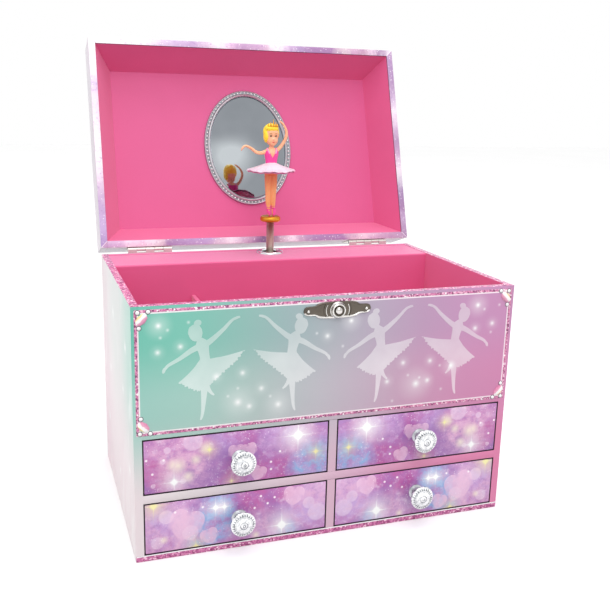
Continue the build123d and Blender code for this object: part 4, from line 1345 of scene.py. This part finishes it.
# ---- the dancer ----
def torso_radii(z):
    """The dancer's half width and half depth at a height."""
    heights = [219.0, 224.0, 228.0, 230.0, 233.0, 235.5, 237.2, 238.4, 239.4]
    wide = [4.7, 4.5, 3.95, 4.0, 4.7, 5.1, 4.7, 3.4, 1.8]
    deep = [3.7, 3.5, 3.0, 3.1, 3.6, 3.6, 3.0, 2.4, 1.7]
    return float(np.interp(z, heights, wide)), float(np.interp(z, heights, deep))


axis_x, axis_y = [(low + high) / 2 for low, high in zip(*extent("dancer_plinth"))][:2]


def on_axis(points, side=1):
    """Points given from the dancer's own axis; side -1 mirrors them."""
    return [(axis_x + side * x, axis_y + y, *rest) for x, y, *rest in points]


def make_dancer():
    low, high = extent("dancer_plinth")
    make_plinth(low, high)
    make_body(high.z)
    make_shoes(high.z)
    make_dress()
    make_head()
    make_tutu()
    make_tiara()


def make_plinth(low, high):
    """The rough gold puck under the dancer's toes, on its short stub."""
    radius = (high.x - low.x) / 2
    thickness = 4.2
    bottom = high.z - thickness
    rim = [(-0.8, 0.1), (-0.1, 0.7), (0, 1.6), (-0.15, 3.0), (-0.5, 3.6), (-1.2, 4.1)]
    profile = [(0, low.z), (2.0, low.z), (2.0, bottom), (3.4, bottom - 0.7), (5.6, bottom)]
    profile += [(radius + out, bottom + up) for out, up in rim]
    profile += [(radius - 2.4, high.z), (2.5, high.z - 0.15), (0, high.z - 0.1)]
    shape = bmesh.new()
    lathe(shape, profile, (axis_x, axis_y, 0), "Z", 72)
    for vert in shape.verts:
        out = Vector((vert.co.x - axis_x, vert.co.y - axis_y, 0))
        if out.length > 4.0:
            ripple = noise.noise(vert.co * 0.9) * 0.28
            vert.co -= out.normalized() * abs(ripple)
    piece("dancer_plinth_gold", shape, [gold], "dancer", ["dancer_plinth"], sharp=50)


def make_body(ground):
    """Legs, torso, neck, arms and the bare head, fused in one skin."""
    shape = bmesh.new()
    for side, lean in ((-1, 0.0), (1, 0.5)):
        points = [(2.25, 0.2, 221.0, 2.75), (2.2, -0.1, 213.0, 2.55), (2.0, 0.0, 205.0, 2.2)]
        points += [(1.95, 0.3, 199.0, 2.0), (1.7 + lean, 0.1, ground + 7.4, 1.5)]
        points += [(1.55 + lean, -0.3, ground + 3.9, 1.2), (1.4 + lean * 1.4, -0.8, ground + 1.1, 0.95)]
        limb(shape, on_axis(points, side))
    hips, neck = 219.0, 239.4
    rings = []
    for i in range(22):
        z = hips + (neck - hips) * i / 21
        wide, deep = torso_radii(z)
        rings.append(on_axis([(wide * math.cos(a), deep * math.sin(a), z) for a in circle(28)]))
    add(shape, loft(rings))
    limb(shape, on_axis([(0, 0, 237.5, 1.9), (0, -0.1, 241.5, 1.7)]), 2)
    head = ((0, 0.3, 249.2, 5.5, 5.5, 6.6), (0, -1.3, 245.2, 4.5, 4.2, 4.6), (0, -3.0, 242.4, 2.3, 1.8, 1.9))
    balls(shape, head, 16, 10)
    balls(shape, [(0, -5.45, 245.6, 0.55, 0.75, 0.9)], 10, 8)
    outward = [(-3.8, 0, 236.6, 1.65), (-7.6, -0.3, 235.4, 1.35), (-11.8, -0.8, 235.9, 1.25)]
    outward += [(-16.6, -1.2, 239.2, 1.05), (-20.4, -1.5, 240.6, 0.85), (-22.4, -1.6, 239.4, 0.85)]
    outward += [(-23.6, -1.6, 237.4, 0.5)]
    raised = [(3.8, 0, 236.8, 1.65), (7.4, -0.3, 240.4, 1.35), (10.6, -0.6, 245.8, 1.25)]
    raised += [(11.4, -0.7, 250.6, 1.1), (9.8, -0.7, 255.0, 0.85), (7.6, -0.7, 257.6, 0.8)]
    raised += [(6.0, -0.7, 258.9, 0.5)]
    for arm in (outward, raised):
        limb(shape, on_axis(arm))
    made = piece("dancer_skin", shape, [skin], "dancer", ["dancer_figure"])
    melted(made, 0.34, 6)


def balls(shape, rows, turns, rings):
    """Egg shapes (x, y, z, and three radii) from the dancer's axis."""
    for *spot, wide, deep, tall in on_axis(rows):
        ball(shape, spot, (wide, deep, tall), turns=turns, rings=rings)


def make_shoes(ground):
    """Slippers with crossed ribbons round the ankles."""
    shape = bmesh.new()
    right = [(2.2, 0.1, 5.8, 1.45), (2.6, -0.3, 3.8, 1.55), (2.7, -0.9, 2.1, 1.35), (2.2, -1.4, 0.8, 0.9)]
    left = [(-1.75, 0.0, 4.6, 1.25), (-1.5, -0.5, 2.8, 1.25), (-1.1, -1.2, 0.8, 0.85)]
    for points in (right, left):
        limb(shape, on_axis([(x, y, ground + up, r) for x, y, up, r in points]))
    ribbons = ((2.05, 6.3, 1.55), (2.0, 7.7, 1.48), (-1.7, 5.4, 1.42), (-1.68, 6.8, 1.4))
    for x, up, r in ribbons:
        loop = [(x + r * math.cos(a), r * math.sin(a), ground + up + 0.35 * math.sin(a)) for a in circle(20)]
        tube(shape, on_axis(loop), 0.3, 6, closed=True)
    made = piece("dancer_shoes", shape, [shoe_plastic], "dancer")
    melted(made, 0.26, 3)


def make_dress():
    """The close bodice with its V neck, and two light straps."""
    levels = 16
    hem, crest = 226.0, 237.1
    neck_depth, neck_angle, dip_behind = 5.2, 0.62, 2.0
    shells = []
    for grow in (0.42, -0.25):
        rows = []
        for level in range(levels + 1):
            row = []
            for angle in circle(56):
                neck = max(0.0, 1 - abs(math.atan2(math.cos(angle), -math.sin(angle))) / neck_angle)
                behind = max(0.0, -math.cos(angle + math.pi / 2))
                top = crest - neck_depth * neck - dip_behind * behind
                z = hem + (top - hem) * level / levels
                wide, deep = torso_radii(z)
                row.append(((wide + grow) * math.cos(angle), (deep + grow) * math.sin(angle), z))
            rows.append(on_axis(row))
        shells.append(rows)
    outer, inner = shells
    shape = loft(outer + inner[::-1], closed=True)
    piece("dancer_bodice", shape, [bodice_plastic], "dancer", sharp=60)
    shape = bmesh.new()
    strap = [(2.3, -3.3, 235.0), (2.9, -2.9, 236.6), (3.3, -1.4, 238.2), (3.3, 0.4, 238.6), (3.0, 2.2, 237.4)]
    strap += [(2.6, 3.2, 235.2)]
    for side in (-1, 1):
        tube(shape, smooth_path(on_axis(strap, side), 5), 0.62, 10)
    piece("dancer_straps", shape, [strap_plastic], "dancer", sharp=60)


def make_head():
    """Hair swept to the doll's right with a low bun, and a simple painted face."""
    shape = bmesh.new()
    balls(shape, [(-0.1, 1.5, 250.9, 5.95, 5.7, 6.2)], 32, 20)
    balls(shape, [(-0.3, -1.6, 253.6, 5.0, 3.6, 3.1)], 24, 14)
    locks = [(-3.9, 0.2, 247.8, 2.3, 3.9, 5.0), (4.0, 0.9, 249.6, 1.9, 3.4, 4.2)]
    bun = (0, 6.6, 251.6, 2.6, 2.2, 2.6)
    balls(shape, [*locks, bun], 20, 14)
    made = piece("dancer_hair", shape, [hair_plastic], "dancer")
    melted(made, 0.3, 4)
    crown = Vector((axis_x * MM, (axis_y + 1.0) * MM, 250.0 * MM))
    for vert in made.data.vertices:
        out = vert.co - crown
        angle = math.atan2(out.y, out.x)
        groove = 0.5 + 0.5 * math.sin(angle * 26 + out.z / MM * 0.5)
        vert.co -= out.normalized() * groove * 0.2 * MM
    made.data.update()
    shape = bmesh.new()
    lash = ((1.15, -5.5, 248.15), (1.95, -5.4, 248.5), (2.8, -4.85, 248.2))
    brow = ((1.0, -5.4, 249.6), (2.0, -5.25, 250.05), (3.0, -4.7, 249.6))
    for side in (-1, 1):
        balls(shape, [(side * 1.95, -5.0, 247.9, 0.62, 0.4, 0.42)], 14, 8)
        tube(shape, smooth_path(on_axis(lash, side), 4), 0.16, 6)
        tube(shape, smooth_path(on_axis(brow, side), 4), 0.15, 6, 1)
    smile = [(-1.05, -4.75, 243.95), (-0.5, -5.0, 243.55), (0, -5.08, 243.42), (0.5, -5.0, 243.55)]
    smile += [(1.05, -4.75, 243.95)]
    path = smooth_path(on_axis(smile), 4)
    middle = len(path) // 2
    tube(shape, path, [0.14 + 0.3 * (1 - abs(i - middle) / middle) for i in range(len(path))], 8, 2)
    piece("dancer_face", shape, [eye_plastic, brow_plastic, lip_plastic], "dancer", sharp=60)


def make_tutu():
    """Two thin wavy layers: a blush one on top and a rose one beneath."""
    layers = (
        ("dancer_tutu", 18.6, 228.4, 0.0, 0.42, skirt_face, ["dancer_skirt"]),
        ("dancer_underskirt", 17.6, 227.4, 0.3, 0.4, rose_skirt, []),
    )
    waist = 3.6
    for name, reach, waist_z, phase, thick, paper, stands_for in layers:
        top = []
        for level in range(11):
            share = level / 10
            row = []
            for a in circle(168):
                wave = 0.35 * math.sin(6 * a + phase) + 0.2 * math.sin(17 * a + 2 * phase)
                edge = reach - 1.0 + abs(math.cos(a)) ** 6 + 0.15 * math.cos(12 * a + phase)
                radius = waist + (edge - waist) * share
                z = waist_z - 5.6 * share**0.8 + wave * 0.8 * share**2
                row.append((radius * math.cos(a), radius * math.sin(a), z))
            top.append(on_axis(row))
        under = [[(x, y, z - thick) for x, y, z in row] for row in top]
        shape = loft(top + under[::-1], closed=True)
        piece(name, shape, [paper], "dancer", stands_for, sharp=70)


def make_tiara():
    """A small gold tiara: a band over the brow with five points and beads."""

    def brow(degrees, lift, rise):
        """A point on the band, which rises towards the front."""
        a = math.radians(degrees - 90)
        return on_axis([(4.7 * math.cos(a), 0.2 + 5.0 * math.sin(a), lift + rise * math.sin(-a))])[0]

    shape = bmesh.new()
    tube(shape, [brow(70 * (i / 12 - 1), 254.0, 1.0) for i in range(25)], 0.42, 8)
    for step, tall in ((-2, 1.6), (-1, 2.6), (0, 4.4), (1, 2.6), (2, 1.6)):
        foot = Vector(brow(24 * step, 254.6, 0.8))
        tip = foot + Vector((0, 0.6, tall))
        tube(shape, [foot, (foot + tip) / 2, tip], [0.75, 0.45, 0.12], 8)
        ball(shape, tip, (0.34, 0.34, 0.34), 0, 10, 6)
    piece("dancer_tiara_gold", shape, [gold], "dancer", ["dancer_tiara"], sharp=50)


# ---- studio ----
def make_studio():
    """A pale floor, a soft sky, two large lamps and the camera."""
    paint = Paint("floor_paper", Roughness=0.85)
    paint.feed(paint.shader.inputs["Base Color"], paint.mix(paint.noise(0.004, 2.0), "#FAFAFA", "#FEFEFE"))
    shape = bmesh.new()
    floor_half = 4000
    floor_gap = 0.05
    bmesh.ops.create_grid(shape, x_segments=4, y_segments=4, size=floor_half)
    shape.transform(Matrix.Scale(MM, 4) @ Matrix.Translation((0, 0, -floor_gap)))
    mesh = bpy.data.meshes.new("floor")
    shape.to_mesh(mesh)
    shape.free()
    mesh.materials.append(paint.material)
    floor = stood("floor", mesh)
    floor.visible_diffuse = False
    make_sky()
    lamp("key_light", (-0.35, -1.4, 1.5), (0, 0, 0.12), 1.2, 13.0)
    lamp("top_light", (0.2, -0.1, 1.8), (0, 0.02, 0.1), 1.2, 10.0)
    bpy.context.scene.view_settings.view_transform = "Standard"
    make_camera()


def make_sky():
    """A white sky down to the horizon that gives less light from below."""
    sky = bpy.data.worlds.new("sky")
    sky.use_nodes = True
    tree = sky.node_tree
    place = tree.nodes.new("ShaderNodeTexCoord")
    split = tree.nodes.new("ShaderNodeSeparateXYZ")
    below = tree.nodes.new("ShaderNodeMapRange")
    tree.links.new(place.outputs["Generated"], split.inputs[0])
    tree.links.new(split.outputs["Z"], below.inputs["Value"])
    for name, value in (("From Min", -0.45), ("From Max", -0.16), ("To Min", 0.3), ("To Max", 1.0)):
        below.inputs[name].default_value = value
    tree.links.new(below.outputs[0], tree.nodes["Background"].inputs["Strength"])
    tree.nodes["Background"].inputs["Color"].default_value = (1.0, 1.0, 1.0, 1.0)
    bpy.context.scene.world = sky


def lamp(name, place, target, size, power):
    light = bpy.data.lights.new(name, "AREA")
    light.size = size
    light.energy = power
    made = stood(name, light)
    made.location = place
    made.rotation_euler = (Vector(target) - Vector(place)).to_track_quat("-Z", "Y").to_euler()


def make_camera():
    """A camera at standing height, a little left of the box, looking slightly down."""
    heading = math.radians(19.49)
    pitch = math.radians(13.56)
    roll = math.radians(1.525)
    flat = math.cos(pitch)
    forward = Vector((math.sin(heading) * flat, math.cos(heading) * flat, -math.sin(pitch)))
    level = forward.cross(Vector((0, 0, 1))).normalized()
    up = level.cross(forward)
    right = level * math.cos(roll) + up * math.sin(roll)
    top = up * math.cos(roll) - level * math.sin(roll)
    turn = Matrix((right, top, -forward)).transposed()
    camera = bpy.data.cameras.new("camera")
    camera.sensor_width = 36.0
    camera.lens = 48.404
    made = stood("camera", camera)
    made.matrix_world = Matrix.Translation((-0.1809, -0.5310, 0.2770)) @ turn.to_4x4()
    bpy.context.scene.camera = made


make_studio()
make_case()
make_silhouettes()
make_corner_gems()
make_lid()
make_mirror()
make_drawers()
make_lock()
make_nails()
make_eyelet()
make_stem()
carry_metal()
make_dancer()
